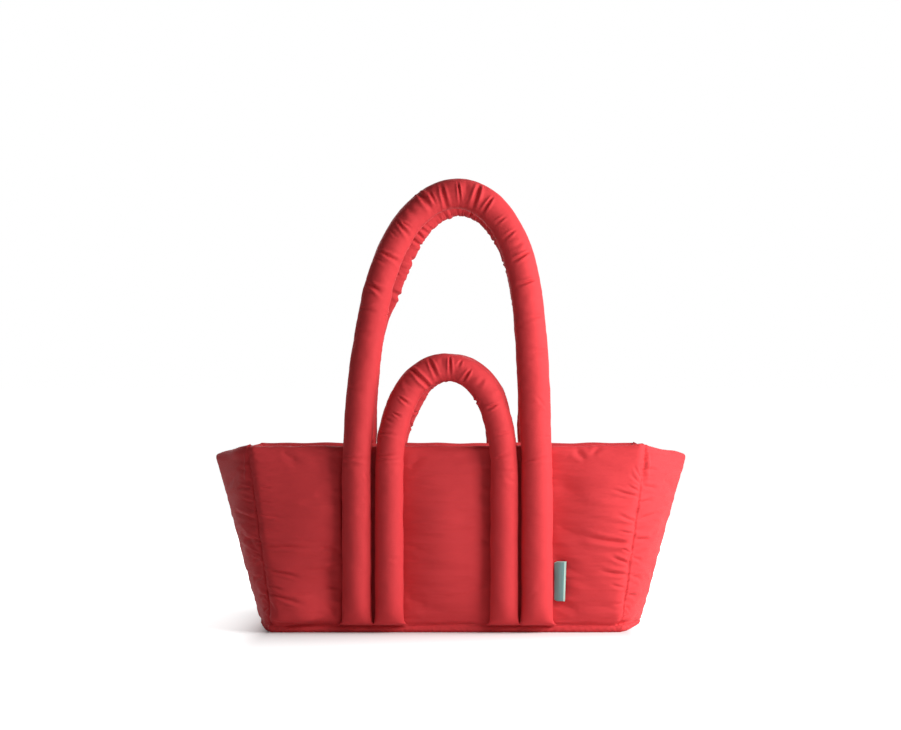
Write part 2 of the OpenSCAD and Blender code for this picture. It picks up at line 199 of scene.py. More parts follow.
# Reads a grid at places between its rows (axis 0) or columns (axis 1) along a smooth curve.
def resample(grid, at, axis=0, closed=False):
    a = np.moveaxis(grid, axis, 0)
    if closed:
        first = np.floor(at).astype(int)
        share = at - first
        picks = [a[(first + k) % len(a)] for k in (-1, 0, 1, 2)]
    else:
        first = np.clip(np.floor(at).astype(int), 0, len(a) - 2)
        share = at - first
        a = np.concatenate([2 * a[:1] - a[1:2], a, 2 * a[-1:] - a[-2:-1]])
        picks = [a[first + k] for k in (0, 1, 2, 3)]
    f = share.reshape((-1,) + (1,) * (a.ndim - 1))
    parts = ((1 - f) ** 3, 3 * f ** 3 - 6 * f ** 2 + 4, -3 * f ** 3 + 3 * f ** 2 + 3 * f + 1, f ** 3)
    return np.moveaxis(sum(p * w for p, w in zip(picks, parts)) / 6, 0, axis)


# Places from 0 to count whose spacing is fine near the given ones and coarse elsewhere.
def graded(count, fine, coarse, near, reach):
    at = np.linspace(0, count, 4001)
    gap = np.min([np.abs(at - n) for n in near], axis=0)
    step = fine + (coarse - fine) * smooth(gap / reach)
    total = np.concatenate([[0], np.cumsum(np.diff(at) / (step[1:] + step[:-1]) * 2)])
    return np.interp(np.linspace(0, total[-1], int(round(total[-1])) + 1), total, at)


# Outward direction at each point of a grid.
def gridNormals(grid, around=False):
    if around:
        acrossStep = np.roll(grid, -1, 1) - np.roll(grid, 1, 1)
    else:
        acrossStep = np.gradient(grid, axis=1)
    normals = np.cross(acrossStep, np.gradient(grid, axis=0))
    return normals / (np.linalg.norm(normals, axis=2, keepdims=True) + 1e-12)


# Soft noise on a grid's own columns and rows, each value repeatable from its seed.
def softNoise(shape, stepRows, stepColumns, seed):
    rows, columns = shape
    dice = np.random.default_rng(seed)
    coarse = dice.normal(0, 1, (int(rows / stepRows) + 4, int(columns / stepColumns) + 4))
    r = np.arange(rows) / stepRows
    c = np.arange(columns) / stepColumns
    i, j = r.astype(int), c.astype(int)
    fr, fc = smooth(r - i)[:, None], smooth(c - j)[None, :]
    a, b = coarse[np.ix_(i, j)], coarse[np.ix_(i, j + 1)]
    d, e = coarse[np.ix_(i + 1, j)], coarse[np.ix_(i + 1, j + 1)]
    return (a * (1 - fc) + b * fc) * (1 - fr) + (d * (1 - fc) + e * fc) * fr


# Soft noises on top of each other, each as (row step, column step, height).
def layered(shape, seed, *layers):
    return sum(softNoise(shape, rowStep, columnStep, seed + n) * height
               for n, (rowStep, columnStep, height) in enumerate(layers))


# Uneven starting points for cloth, off where it was cut: jolt is the noise's steps and its size in mm.
def jolted(cut, made, sewn, jolt, seed, around=False):
    rowStep, columnStep, size = jolt
    noise = softNoise(sewn.shape, rowStep, columnStep, seed)[..., None]
    return cut + noise * gridNormals(made, around) * size * mm * (1 - sewn[..., None])


# A crease in a field of points (a, b): a valley from start to end with a soft ridge on each
# side. It may bow sideways, and it fades at its ends over shares of its length.
def crease(a, b, start, end, depth, width, bow=0.0, ridge=0.45, fade=(0.25, 0.45), flare=(0.75, 0.5)):
    runA, runB = end[0] - start[0], end[1] - start[1]
    length = math.hypot(runA, runB)
    u = ((a - start[0]) * runA + (b - start[1]) * runB) / length ** 2
    v = ((b - start[1]) * runA - (a - start[0]) * runB) / length
    inside = np.clip(u, 0, 1)
    v = np.abs(v - bow * 4 * inside * (1 - inside))
    taper = smooth(u / fade[0] + 0.02) * smooth((1 - u) / fade[1])
    spread = width * (flare[0] + flare[1] * inside)
    valley = np.exp(-(v / spread) ** 1.3)
    ridges = np.exp(-((v - 2.1 * spread) / (1.1 * spread)) ** 2)
    return depth * taper * (ridge * ridges - valley)


pucker = {
    # least and most of each, as shares of the size asked for
    "spacing": (0.45, 1.55), "reach": (0.35, 1.7), "height": (0.15, 1.25),
    "sway": (0.12, 7),                # how far the lobes lean, and over how many of them it comes back
    "round": 0.75, "fade": 1.4,
}


# Puckers beside a seam: uneven lobes with sharp valleys between them, fading away from it.
# The seam runs from nothing to end.
def puckers(along, away, spacing, reach, height, seed, end, slant=0.0):
    dice = np.random.default_rng(seed)
    count = int(end / spacing * 1.7) + 4
    knots = np.cumsum(dice.uniform(*pucker["spacing"], count)) * spacing - 2 * spacing
    reaches = reach * dice.uniform(*pucker["reach"], count)
    heights = height * dice.uniform(*pucker["height"], count)
    lean, turns = pucker["sway"]
    place = along + (slant + lean * np.sin(along / (turns * spacing) + seed)) * away
    i = np.clip(np.searchsorted(knots, place) - 1, 0, count - 2)
    f = np.clip((place - knots[i]) / (knots[i + 1] - knots[i]), 0, 1)
    lobe = np.sin(np.pi * f) ** pucker["round"]
    return heights[i] * lobe * np.exp(-(np.abs(away) / reaches[i]) ** pucker["fade"])


bag = {
    "rimWidth": 426 * mm,
    "baseWidth": 376 * mm,
    "rimDepth": 184 * mm,
    "baseDepth": 172 * mm,
    "foldRim": (253.5 * mm, 262 * mm),   # from the middle to the gusset's fold: left, right
    "foldBase": (201.5 * mm, 210 * mm),
    "foldDip": 9 * mm,
    "seamHeight": 8 * mm,
    "height": 196 * mm,
    "wall": 12.2 * mm,
    "roll": 5 * mm,
    "facing": 38 * mm,
}
wallTop = bag["height"] - bag["roll"]


def rise(z):
    return (z - bag["seamHeight"]) / (bag["height"] - bag["seamHeight"])


def between(a, b, share):
    return a + (b - a) * share


def halfWidth(z):
    return between(bag["baseWidth"], bag["rimWidth"], rise(z)) / 2


def halfDepth(z):
    return between(bag["baseDepth"], bag["rimDepth"], rise(z)) / 2


def halfFold(z, side):
    return between(bag["foldBase"][side], bag["foldRim"][side], rise(z))


# Half a gusset in plan: its length, and its direction from the corner to the fold.
def gussetRun(z, side=1):
    run, deep = halfFold(z, side) - halfWidth(z), halfDepth(z)
    length = np.hypot(run, deep)
    return length, run / length, deep / length


# Corner and fold of the plan, each moved inward by the depth d from its walls.
def cornerPoint(z, d, side=1):
    length, alongX, alongY = gussetRun(z, side)
    s = d * (1 - alongX) / alongY
    return halfWidth(z) - d * alongY + s * alongX, -halfDepth(z) + d


def foldPoint(z, d, side=1):
    length, alongX, alongY = gussetRun(z, side)
    s = (halfDepth(z) - d * alongX) / alongY
    return halfWidth(z) - d * alongY + s * alongX


def dipped(z):
    low = bag["seamHeight"]
    squeezed = low + (z - low) * (wallTop - bag["foldDip"] - low) / (wallTop - low)
    return np.where(z > wallTop, z - bag["foldDip"], squeezed)


# Points of the right gusset: t runs from 0 at the front corner over 1 at the fold to 2.
def gussetPoint(t, z, d, side=1):
    s = np.where(t > 1, 2 - t, t)
    cornerX, cornerY = cornerPoint(z, d, side)
    low = dipped(z)
    x = between(cornerX, foldPoint(low, d, side), s)
    y = between(cornerY, 0, s)
    return np.stack([x, np.where(t > 1, -y, y), between(z, low, s)], -1)


# Colour, weave and gloss are shared by the fabrics through these node groups.
def newGroup(name, inputs, outputs):
    group = bpy.data.node_groups.new(name, "ShaderNodeTree")
    for label, kind, value in inputs:
        socket = group.interface.new_socket(name=label, in_out="INPUT", socket_type=kind)
        if value is not None:
            socket.default_value = value
    for label, kind in outputs:
        group.interface.new_socket(name=label, in_out="OUTPUT", socket_type=kind)
    return group, group.nodes.new("NodeGroupInput"), group.nodes.new("NodeGroupOutput")


# Makes a node with its settings, and with its inputs by name or number.
def addNode(tree, kind, inputs, **settings):
    node = tree.nodes.new(kind)
    for name, value in settings.items():
        setattr(node, name, value)
    feed(tree, node, inputs)
    return node


# Links an input where its value is another node's output, and sets it elsewhere.
def feed(tree, node, inputs):
    for label, value in inputs.items():
        if isinstance(value, bpy.types.NodeSocket):
            tree.links.new(value, node.inputs[label])
        elif value is not None:
            node.inputs[label].default_value = value


def addMath(tree, operation, first, second=None, clamp=False):
    inputs = {0: first, 1: second}
    return addNode(tree, "ShaderNodeMath", inputs, operation=operation, use_clamp=clamp).outputs[0]


def addNoise(tree, source, scale=1.0, detail=2.0, rough=0.5, warp=0.0):
    inputs = {"Vector": source, "Scale": scale, "Detail": detail, "Roughness": rough, "Distortion": warp}
    return addNode(tree, "ShaderNodeTexNoise", inputs).outputs[0]


def addStretch(tree, source, scale):
    return addNode(tree, "ShaderNodeMapping", {"Vector": source, "Scale": scale}).outputs[0]


# Mixes two colours, each a tuple or another node's colour.
def addMix(tree, share, first, second):
    colors = [color + (1,) if isinstance(color, tuple) else color for color in (first, second)]
    inputs = {0: share, 6: colors[0], 7: colors[1]}
    return addNode(tree, "ShaderNodeMix", inputs, data_type="RGBA").outputs[2]


def addBump(tree, height, depth, normal=None):
    inputs = {"Strength": 1.0, "Distance": depth, "Height": height, "Normal": normal}
    return addNode(tree, "ShaderNodeBump", inputs).outputs[0]


def newMaterial(name):
    material = bpy.data.materials.new(name)
    material.use_nodes = True
    tree = material.node_tree
    return material, tree, tree.nodes["Principled BSDF"]


def objectPlace(tree):
    return tree.nodes.new("ShaderNodeTexCoord").outputs["Object"]


# Plain weave: threads over and under each other at the pitch, as a height.
def makeWeave():
    group, given, out = newGroup("plainWeave", [
        ("Vector", "NodeSocketVector", None), ("Threads per metre", "NodeSocketFloat", 2600.0),
        ("Slub", "NodeSocketFloat", 0.2)], [("Height", "NodeSocketFloat")])
    split = group.nodes.new("ShaderNodeSeparateXYZ")
    group.links.new(given.outputs["Vector"], split.inputs[0])
    waves = []
    for axis in (0, 1):
        turns = addMath(group, "MULTIPLY", split.outputs[axis], given.outputs["Threads per metre"])
        waves.append(addMath(group, "SINE", addMath(group, "MULTIPLY", turns, math.pi)))
    slub = addNoise(group, addStretch(group, given.outputs["Vector"], (60.0, 900.0, 60.0)))
    uneven = addMath(group, "MULTIPLY", slub, given.outputs["Slub"])
    crossing = addMath(group, "MULTIPLY", *waves)
    group.links.new(addMath(group, "ADD", crossing, uneven), out.inputs["Height"])
    return group


# Fine crumple of thin cloth, as a height.
def makeCrumple():
    group, given, out = newGroup("clothCrumple", [
        ("Vector", "NodeSocketVector", None), ("Per metre", "NodeSocketFloat", 60.0),
        ("Along", "NodeSocketFloat", 2.0)], [("Height", "NodeSocketFloat")])
    perMetre = given.outputs["Per metre"]
    along = addMath(group, "MULTIPLY", perMetre, given.outputs["Along"])
    size = addNode(group, "ShaderNodeCombineXYZ", {0: perMetre, 1: along, 2: perMetre}).outputs[0]
    scaled = addNode(group, "ShaderNodeVectorMath", {0: given.outputs["Vector"], 1: size},
                     operation="MULTIPLY").outputs[0]
    fine = addNoise(group, scaled, detail=3.0, rough=0.55, warp=0.8)
    broad = addNoise(group, scaled, detail=1.0, warp=0.2)
    ridge = addMath(group, "ABSOLUTE", addMath(group, "SUBTRACT", fine, 0.5))
    group.links.new(addMath(group, "SUBTRACT", broad, ridge), out.inputs["Height"])
    return group


# Dye that took a little unevenly and cloth that is rubbed a little duller in places.
aging = {
    "perMetre": 14.0, "detail": 4.0, "rough": 0.6,   # of the patches
    "from": 0.35,                                    # the noise above which the cloth is faded
    "duller": 0.16,                                  # how much the gloss varies
}


def makeAge():
    group, given, out = newGroup("clothAge", [
        ("Vector", "NodeSocketVector", None), ("Color", "NodeSocketColor", (0.5, 0.5, 0.5, 1)),
        ("Faded", "NodeSocketColor", (0.6, 0.6, 0.6, 1)), ("Gloss", "NodeSocketFloat", 0.45),
        ("Uneven", "NodeSocketFloat", 0.5)], [("Color", "NodeSocketColor"), ("Roughness", "NodeSocketFloat")])
    noise = addNoise(group, given.outputs["Vector"], aging["perMetre"], aging["detail"], aging["rough"])
    share = addMath(group, "MULTIPLY", addMath(group, "SUBTRACT", noise, aging["from"], clamp=True),
                    given.outputs["Uneven"], clamp=True)
    group.links.new(addMix(group, share, given.outputs["Color"], given.outputs["Faded"]), out.inputs["Color"])
    duller = addMath(group, "MULTIPLY", addMath(group, "SUBTRACT", noise, 0.5), aging["duller"])
    group.links.new(addMath(group, "ADD", given.outputs["Gloss"], duller), out.inputs["Roughness"])
    return group


weaveGroup, crumpleGroup, ageGroup = makeWeave(), makeCrumple(), makeAge()

# A folded woven tab, sewn into the outer seam of the front right long leg.
tab = {
    "seam": (113.2 * mm, -88.35 * mm),   # where it comes out of the seam: across, and from the front
    "width": 13 * mm,
    "height": 42 * mm,
    "bottom": 33.2 * mm,
    "turn": 18,                          # degrees off the panel
    "layer": 0.5 * mm,
    "curl": 0.8 * mm,
    "yarn": 1.9 * mm,                    # width of the paler yarn at its fold
    "yarnSharp": 3000,                   # how sharply it ends
    "streaks": ((1400, 26, 1), 0.45, 2.6),   # per metre, from which noise they show, and how strongly
    "lean": 2.2,                         # degrees that its lower corner hangs in
    "round": 0.8,                        # of the folded edge, as a share of a layer
    "gap": 0.35 * mm,                    # between its layers
    "pinch": (3.4 * mm, 0.07),           # its corners are tucked in: how far from the seam, and how much
}

fabrics = {
    "shell": {"color": (0.600, 0.048, 0.054), "faded": (0.640, 0.062, 0.068), "gloss": 0.52, "uneven": 0.5,
              "threads": 2600, "weaveDepth": 0.03 * mm, "crumple": 55, "crumpleDepth": 0.35 * mm,
              "sheen": 0.01, "sheenRough": 0.4, "shine": 0.03},
    "lining": {"color": (0.430, 0.028, 0.036), "faded": (0.480, 0.045, 0.052), "gloss": 0.5, "uneven": 0.6,
               "threads": 2200, "weaveDepth": 0.03 * mm, "crumple": 45, "crumpleDepth": 0.4 * mm,
               "sheen": 0.1, "sheenRough": 0.5, "shine": 0.4},
    "tape": {"color": (0.160, 0.365, 0.350), "faded": (0.200, 0.430, 0.410), "gloss": 0.62, "uneven": 0.8,
             "edge": (0.600, 0.930, 0.830), "streak": (0.115, 0.270, 0.262),
             "threads": 1500, "weaveDepth": 0.09 * mm, "crumple": 90, "crumpleDepth": 0.05 * mm,
             "sheen": 0.2, "sheenRough": 0.5, "shine": 0.3},
    "thread": {"color": (0.700, 0.070, 0.080), "faded": (0.760, 0.110, 0.120), "gloss": 0.5, "uneven": 0.4,
               "threads": 1200, "weaveDepth": 0.06 * mm, "crumple": 200, "crumpleDepth": 0.02 * mm,
               "sheen": 0.2, "sheenRough": 0.4, "shine": 0.4},
}


# A woven tape's fine streaks along its length, and its paler yarn at the fold and along the top.
def paintTape(tree, source, color, look):
    perMetre, start, strength = tab["streaks"]
    noise = addNoise(tree, addStretch(tree, source, perMetre))
    beyond = addMath(tree, "SUBTRACT", noise, start, clamp=True)
    streaks = addMath(tree, "MULTIPLY", beyond, strength, clamp=True)
    split = tree.nodes.new("ShaderNodeSeparateXYZ")
    tree.links.new(source, split.inputs[0])
    yarns = []
    for axis, start in ((0, tab["width"] - tab["yarn"]), (1, tab["height"] - 0.5 * tab["yarn"])):
        beyond = addMath(tree, "SUBTRACT", split.outputs[axis], start)
        yarns.append(addMath(tree, "MULTIPLY", beyond, tab["yarnSharp"], clamp=True))
    color = addMix(tree, streaks, color, look["streak"])
    return addMix(tree, addMath(tree, "MAXIMUM", *yarns), color, look["edge"])


def makeFabric(name):
    look = fabrics[name]
    material, tree, shader = newMaterial(name + "Fabric")
    cut = addNode(tree, "ShaderNodeUVMap", {}, uv_map="cut").outputs[0]
    age = addNode(tree, "ShaderNodeGroup", {
        "Vector": objectPlace(tree), "Color": look["color"] + (1,), "Faded": look["faded"] + (1,),
        "Gloss": look["gloss"], "Uneven": look["uneven"]}, node_tree=ageGroup)
    weave, crumple = (
        addNode(tree, "ShaderNodeGroup", {"Vector": cut, label: value}, node_tree=group).outputs["Height"]
        for group, label, value in ((weaveGroup, "Threads per metre", look["threads"]),
                                    (crumpleGroup, "Per metre", look["crumple"])))
    color = age.outputs["Color"]
    if "edge" in look:
        color = paintTape(tree, cut, color, look)
    normal = addBump(tree, weave, look["weaveDepth"], addBump(tree, crumple, look["crumpleDepth"]))
    feed(tree, shader, {
        "Base Color": color, "Roughness": age.outputs["Roughness"], "Normal": normal,
        "Sheen Weight": look["sheen"], "Sheen Roughness": look["sheenRough"],
        "Specular IOR Level": look["shine"]})
    return material


materials = {name: makeFabric(name) for name in fabrics}
print("materials made")


# The shell is one padded wall all round: its outer face, the roll over the rim, the facing
# inside, and a hidden back. Each row of the wall is a depth inward and a level.
wall = {
    "rows": (94, 8, 16),           # of the trial grid: outer face, roll over the rim, facing
    "fineRows": (250, 18, 26),
    "frontColumns": 196,
    "sideColumns": 92,
    "fine": 0.42,                  # spacing of the finished columns, in trial columns: at a seam
    "coarse": 0.78,                # and away from it
    "seamSink": 5.4 * mm,          # how far the corner seams are pulled in
    "seamWidth": (5.5 * mm, 12 * mm),   # on a panel and on a gusset
    "puff": 8.0 * mm,              # swell of the front and rear between their seams
    "middlePuff": 12 * mm,         # and between the short legs
    "sidePuff": 6.5 * mm,          # and of each half of a gusset
    "lane": (47 * mm, 108 * mm),   # flat under the sewn legs, from and to
    "gathered": (0.006, 0.030),    # spare height of the cloth: everywhere, and more at its seams
    # how that is spread: seed, step across, middle and most, and how far it reaches from a seam
    "frontGathers": (91, 30, 0.5, 1.6, 20 * mm),
    "sideGathers": (92, 20, 0.4, 1.5, 18 * mm),
    "leftShare": 0.3,              # less of it left of the middle
    "foldHeld": 0.9,               # how firmly the gusset's fold is held
    "snapPatch": 15 * mm,          # half the width of the facing that the snap keeps flat
    "seed": 7,
}
wallCare = {"pressure": 60, "bend": 0.02, "frames": 26, "carry": 12, "cap": 5 * mm, "jolt": (3, 11, 0.5)}


def wallRows():
    outer, roll, inner = wall["rows"]
    turn = np.linspace(0, math.pi, roll + 1)[1:-1]
    face = [(0.0, z) for z in np.linspace(bag["seamHeight"], wallTop, outer + 1)]
    over = [(bag["wall"] / 2 * (1 - math.cos(a)), wallTop + bag["roll"] * math.sin(a)) for a in turn]
    inside = [(bag["wall"], z) for z in np.linspace(wallTop, bag["height"] - bag["facing"], inner + 1)]
    return np.array(face + over + inside)


rows = wallRows()
rowDepth, rowLevel = rows[:, :1], rows[:, 1:]
onFace = (rowDepth == 0).astype(float)
outerShare = np.where(rowDepth < bag["wall"] / 2, 1.0, 0.25) * np.ones_like(rowLevel)
rollStart = wall["rows"][0]
rollEnd = rollStart + wall["rows"][1]
held = np.zeros_like(rowLevel)          # the roll keeps its height while the cloth is blown up
held[rollStart + 2:rollEnd - 1] = 0.8


# Swell of a padded part: nothing at its edges, full in its middle.
def swell(share, up):
    return np.sin(np.pi * np.clip(share, 0, 1)) ** 1.05 * (1 - np.abs(2 * up - 1) ** 2.6)


# The wall's edges are sewn, and its roll is held while the cloth is blown up.
def sewnEdges(shape):
    sewn = held * np.ones(shape)
    sewn[:, [0, -1]] = sewn[0] = sewn[-1] = 1
    return sewn


# Spare height of the cloth, more of it near a seam, where it is gathered unevenly.
def gathers(kind, away, share=1.0):
    seed, columnStep, middle, most, reach = wall[kind]
    spots = np.clip(middle + 0.9 * softNoise(away.shape, 7, columnStep, seed), 0, most) * share
    return wall["gathered"][0] + wall["gathered"][1] * spots * np.exp(-away / reach)


def frontWall():
    u = np.linspace(-1, 1, wall["frontColumns"] + 1)[None, :]
    edge, faceY = cornerPoint(rowLevel, rowDepth, 1)
    x = edge * u
    inner, outer = wall["lane"]
    up = np.clip(rise(rowLevel), 0, 1)
    side = swell((np.abs(x) - outer) / (edge - outer), up) * wall["puff"]
    middle = swell((x + inner) / (2 * inner), up) * wall["middlePuff"]
    bulge = np.where(np.abs(x) > outer, side, np.where(np.abs(x) < inner, middle, 0)) * onFace
    grid = np.stack([x, faceY - bulge, np.broadcast_to(rowLevel, x.shape)], -1)
    distance = (1 - np.abs(u)) * edge
    sinkBy = wall["seamSink"] * np.exp(-(distance / wall["seamWidth"][0]) ** 2) * outerShare
    deepX, deepY = cornerPoint(rowLevel, rowDepth + sinkBy, 1)
    grid[..., 1] += deepY - faceY
    grid[..., 0] -= np.sign(u) * (edge - deepX)
    sewn = sewnEdges(x.shape)
    sewn[(np.abs(x) > inner) & (np.abs(x) < outer) & (rowDepth == 0)] = 1
    sewn[(np.abs(x) < wall["snapPatch"]) & (rowDepth > 0.99 * bag["wall"])] = 1
    return grid, sewn, gathers("frontGathers", distance, np.where(x < 0, wall["leftShare"], 1.0))


def sideWall():
    t = np.linspace(0, 2, wall["sideColumns"] + 1)[None, :]
    grid = gussetPoint(t, rowLevel, rowDepth)
    half = np.where(t > 1, 2 - t, t)
    up = np.clip(rise(rowLevel), 0, 1)
    grid[..., 0] += swell(half, up) * wall["sidePuff"] * onFace
    length = gussetRun(rowLevel)[0]
    sinkBy = wall["seamSink"] * np.exp(-(half * length / wall["seamWidth"][1]) ** 1.5) * outerShare
    grid += gussetPoint(t, rowLevel, rowDepth + sinkBy) - gussetPoint(t, rowLevel, rowDepth)
    sewn = sewnEdges(grid.shape[:2])
    sewn[:, wall["sideColumns"] // 2] = wall["foldHeld"]
    return grid, sewn, gathers("sideGathers", half * length)


def blowWall(name, made, sewn, growth, seed):
    middle = (bag["seamHeight"] + bag["height"]) / 2
    cut = made.copy()
    cut[..., 2] = middle + (made[..., 2] - middle) * (1 + growth)
    cut = jolted(cut, made, sewn, wallCare["jolt"], seed)
    return inflate(name, cut, made, sewn, wallCare)


frontGrid = blowWall("frontTrial", *frontWall(), wall["seed"])
print("front panel inflated")
sideGrid = blowWall("sideTrial", *sideWall(), wall["seed"] + 1)
print("gusset inflated")


# Places of the finished rows and columns in the trial grid.
fineOuter, fineRoll, fineInside = wall["fineRows"]
rowAt = np.concatenate([
    np.linspace(0, rollStart, fineOuter + 1), np.linspace(rollStart, rollEnd, fineRoll + 1)[1:],
    np.linspace(rollEnd, rollEnd + wall["rows"][2], fineInside + 1)[1:]])
rowAt = np.minimum(rowAt, len(rows) - 1)
frontAt = graded(wall["frontColumns"], wall["fine"], wall["coarse"], (0, wall["frontColumns"]), 16)
sideAt = graded(wall["sideColumns"], wall["fine"], wall["coarse"], (0, wall["sideColumns"]), 16)
frontU = np.interp(frontAt, [0, wall["frontColumns"]], [-1, 1])[None, :]
sideT = np.interp(sideAt, [0, wall["sideColumns"]], [0, 2])[None, :]
fineDepth = np.interp(rowAt, np.arange(len(rows)), rowDepth[:, 0])[:, None]
fineLevel = np.interp(rowAt, np.arange(len(rows)), rowLevel[:, 0])[:, None]
fineFace = smooth(1 - fineDepth / (4 * mm))


def turned(grid):
    return grid * np.array([-1, -1, 1])


# The left gusset is the right one turned round, with its fold a little closer in.
def leftFrom(side, t):
    left = turned(side)
    level = np.clip(side[..., 2], bag["seamHeight"], bag["height"])
    closer = halfFold(level, 1) - halfFold(level, 0)
    left[..., 0] += closer * np.where(t > 1, 2 - t, t)
    return left


fineFront = resample(resample(frontGrid, rowAt), frontAt, 1)
fineSide = resample(resample(sideGrid, rowAt), sideAt, 1)
# the gusset's fold stands where it was cut to, in a soft straight line
atFold = int(np.argmin(np.abs(sideT[0] - 1)))
foldSlack = gussetPoint(np.array([[1.0]]), fineLevel, fineDepth)[:, 0, 0] - fineSide[:, atFold, 0]
foldSlack = np.convolve(np.pad(foldSlack, 12, mode="edge"), np.ones(25) / 25, mode="valid")
fineSide[..., 0] += foldSlack[:, None] * np.exp(-np.abs((sideT - 1) / 0.3) ** 2.5)
ring = np.concatenate([fineFront[:, :-1], fineSide[:, :-1], turned(fineFront)[:, :-1],
                       leftFrom(fineSide, sideT)[:, :-1]], 1)

# Folds pressed into the cloth, each from one point to another in mm, with its depth, its width
# and its bow. On the front and rear a point is (across, up), on a gusset (from its seam, up).
frontFolds = [
    ((-196, 90), (-141, 90), 1.3, 2.0, 0.5), ((-134, 90), (-110, 88), 1.1, 2.2, 0.5),
    ((-190, 66), (-150, 58), 1.2, 1.7, 1.0), ((-188, 52), (-168, 46), 1.0, 1.3, -0.5),
    ((-188, 43), (-146, 32), 1.4, 1.8, 0.8), ((-130, 48), (-110, 48), 1.0, 1.8, 0.3),
    ((-196, 152), (-183, 152), 0.7, 1.3, 0.3), ((-199, 124), (-168, 120), 0.6, 1.5, 0.6),
    ((-200, 138), (-180, 136), 0.5, 1.2, 0.3), ((-174, 192), (-152, 178), 1.0, 4.5, -1.0),
    ((-160, 196), (-128, 184), 0.9, 6.0, 1.0), ((-196, 106), (-172, 108), 0.5, 1.4, 0.3),
    ((-186, 35), (-176, 20), 0.9, 2.2, 0.8), ((-130, 62), (-109, 70), 0.9, 5.0, 1.0),
    ((-128, 33), (-110, 22), 1.2, 4.0, -1.0), ((-140, 146), (-109, 142), 0.8, 6.0, 1.0),
    ((205, 142), (171, 152), 1.2, 1.7, 1.0), ((203, 116), (176, 126), 1.1, 1.8, 1.0),
    ((198, 94), (131, 106), 1.6, 3.0, 2.5), ((196, 72), (170, 82), 1.3, 1.9, 0.8),
    ((194, 62), (156, 68), 1.3, 2.2, 1.5), ((147, 182), (134, 196), 1.2, 3.5, 1.5),
    ((152, 186), (166, 198), 0.8, 3.0, 1.0), ((206, 156), (192, 168), 0.9, 1.4, 1.5),
    ((207, 162), (196, 176), 0.8, 1.3, 1.5), ((206, 148), (188, 156), 0.9, 1.3, 1.0),
    ((200, 104), (178, 108), 0.8, 1.4, 0.6), ((197, 84), (182, 90), 0.8, 1.2, 0.6),
    ((112, 114), (150, 92), 1.0, 7.0, 2.0), ((114, 76), (158, 56), 1.1, 7.0, -2.0),
    ((112, 31), (140, 22), 1.1, 4.0, 1.5), ((190, 48), (170, 52), 0.8, 1.6, 0.5),
    ((114, 156), (150, 136), 0.8, 8.0, 2.0), ((189, 33), (172, 31), 0.7, 2.0, 0.5),
    ((-40, 172), (-22, 186), 0.7, 5.0, 1.5), ((44, 148), (22, 136), 0.6, 5.0, 1.0),
    ((-44, 36), (-18, 28), 0.8, 5.0, 1.5), ((44, 54), (26, 40), 0.7, 4.0, -1.0),
    ((-44, 92), (-24, 88), 0.5, 4.0, 0.8), ((44, 96), (30, 100), 0.5, 3.0, 0.5),
]
rearFolds = [
    ((-200, 116), (-150, 104), 1.4, 2.4, 1.5), ((-196, 84), (-160, 88), 1.1, 1.8, 0.8),
    ((-190, 48), (-148, 40), 1.3, 2.2, -1.0), ((-204, 154), (-176, 146), 1.1, 1.8, 1.0),
    ((-128, 146), (-110, 148), 0.9, 2.4, 0.5), ((-136, 66), (-110, 58), 1.0, 2.8, 1.0),
    ((202, 134), (160, 128), 1.3, 2.0, 1.0), ((197, 100), (166, 108), 1.1, 1.8, 0.8),
    ((193, 70), (140, 62), 1.4, 2.4, -1.5), ((189, 40), (162, 48), 1.0, 1.8, 0.8),
    ((206, 162), (184, 168), 0.9, 1.6, 0.8), ((130, 116), (110, 108), 0.9, 2.8, 0.6),
    ((-44, 126), (-10, 118), 0.7, 4.0, 1.0), ((44, 80), (12, 74), 0.7, 4.5, -1.0),
    ((150, 196), (138, 182), 1.0, 4.0, 1.0), ((-150, 196), (-162, 182), 1.0, 4.0, 1.0),
]
gussetFolds = [
    ((0, 152), (34, 152), 1.0, 1.7, 0.6), ((0, 118), (58, 128), 1.2, 2.2, 1.5),
    ((0, 98), (36, 96), 1.2, 2.0, 0.8), ((0, 136), (26, 140), 0.9, 1.5, 0.5),
    ((0, 80), (22, 74), 0.9, 1.6, 0.5), ((2, 60), (30, 54), 1.0, 2.0, 0.8),
    ((2, 40), (24, 36), 0.9, 1.8, 0.6), ((0, 170), (30, 172), 0.8, 2.2, 0.5),
    ((4, 88), (50, 108), 0.8, 3.5, 1.5), ((40, 162), (80, 156), 0.8, 4.0, 1.0),
    ((50, 66), (86, 56), 0.8, 4.5, -1.0), ((1, 28), (16, 22), 0.8, 1.6, 0.4),
    ((1, 192), (3, 148), 2.0, 2.6, 0.0),
]
seamPuckers = [
    # spacing, reach and height in mm of the three sizes of pucker along the corner seams
    (3.1, 4.4, 0.62), (6.5, 11.0, 0.55), (16.0, 26.0, 0.5),
]
# Broad swells and hollows of the wadding: across, up, height, half width, half height, in mm.
frontSwells = [
    (-156, 24, 13.0, 40, 26), (-122, 40, -2.0, 14, 24), (-120, 128, 4.5, 30, 46), (-176, 140, -1.6, 22, 34),
    (168, 130, 1.8, 22, 30), (150, 62, -1.5, 24, 16), (176, 40, 2.0, 20, 16), (126, 150, -1.5, 14, 26),
    (-14, 120, -1.0, 20, 40), (24, 110, 1.6, 16, 50), (118, 54, -3.6, 13, 26),
]
rearSwells = [
    (160, 40, 3.0, 26, 24), (-160, 60, 2.5, 26, 30), (0, 100, 1.5, 30, 40), (-170, 140, -1.4, 22, 22),
    (150, 128, 1.6, 22, 26),
]

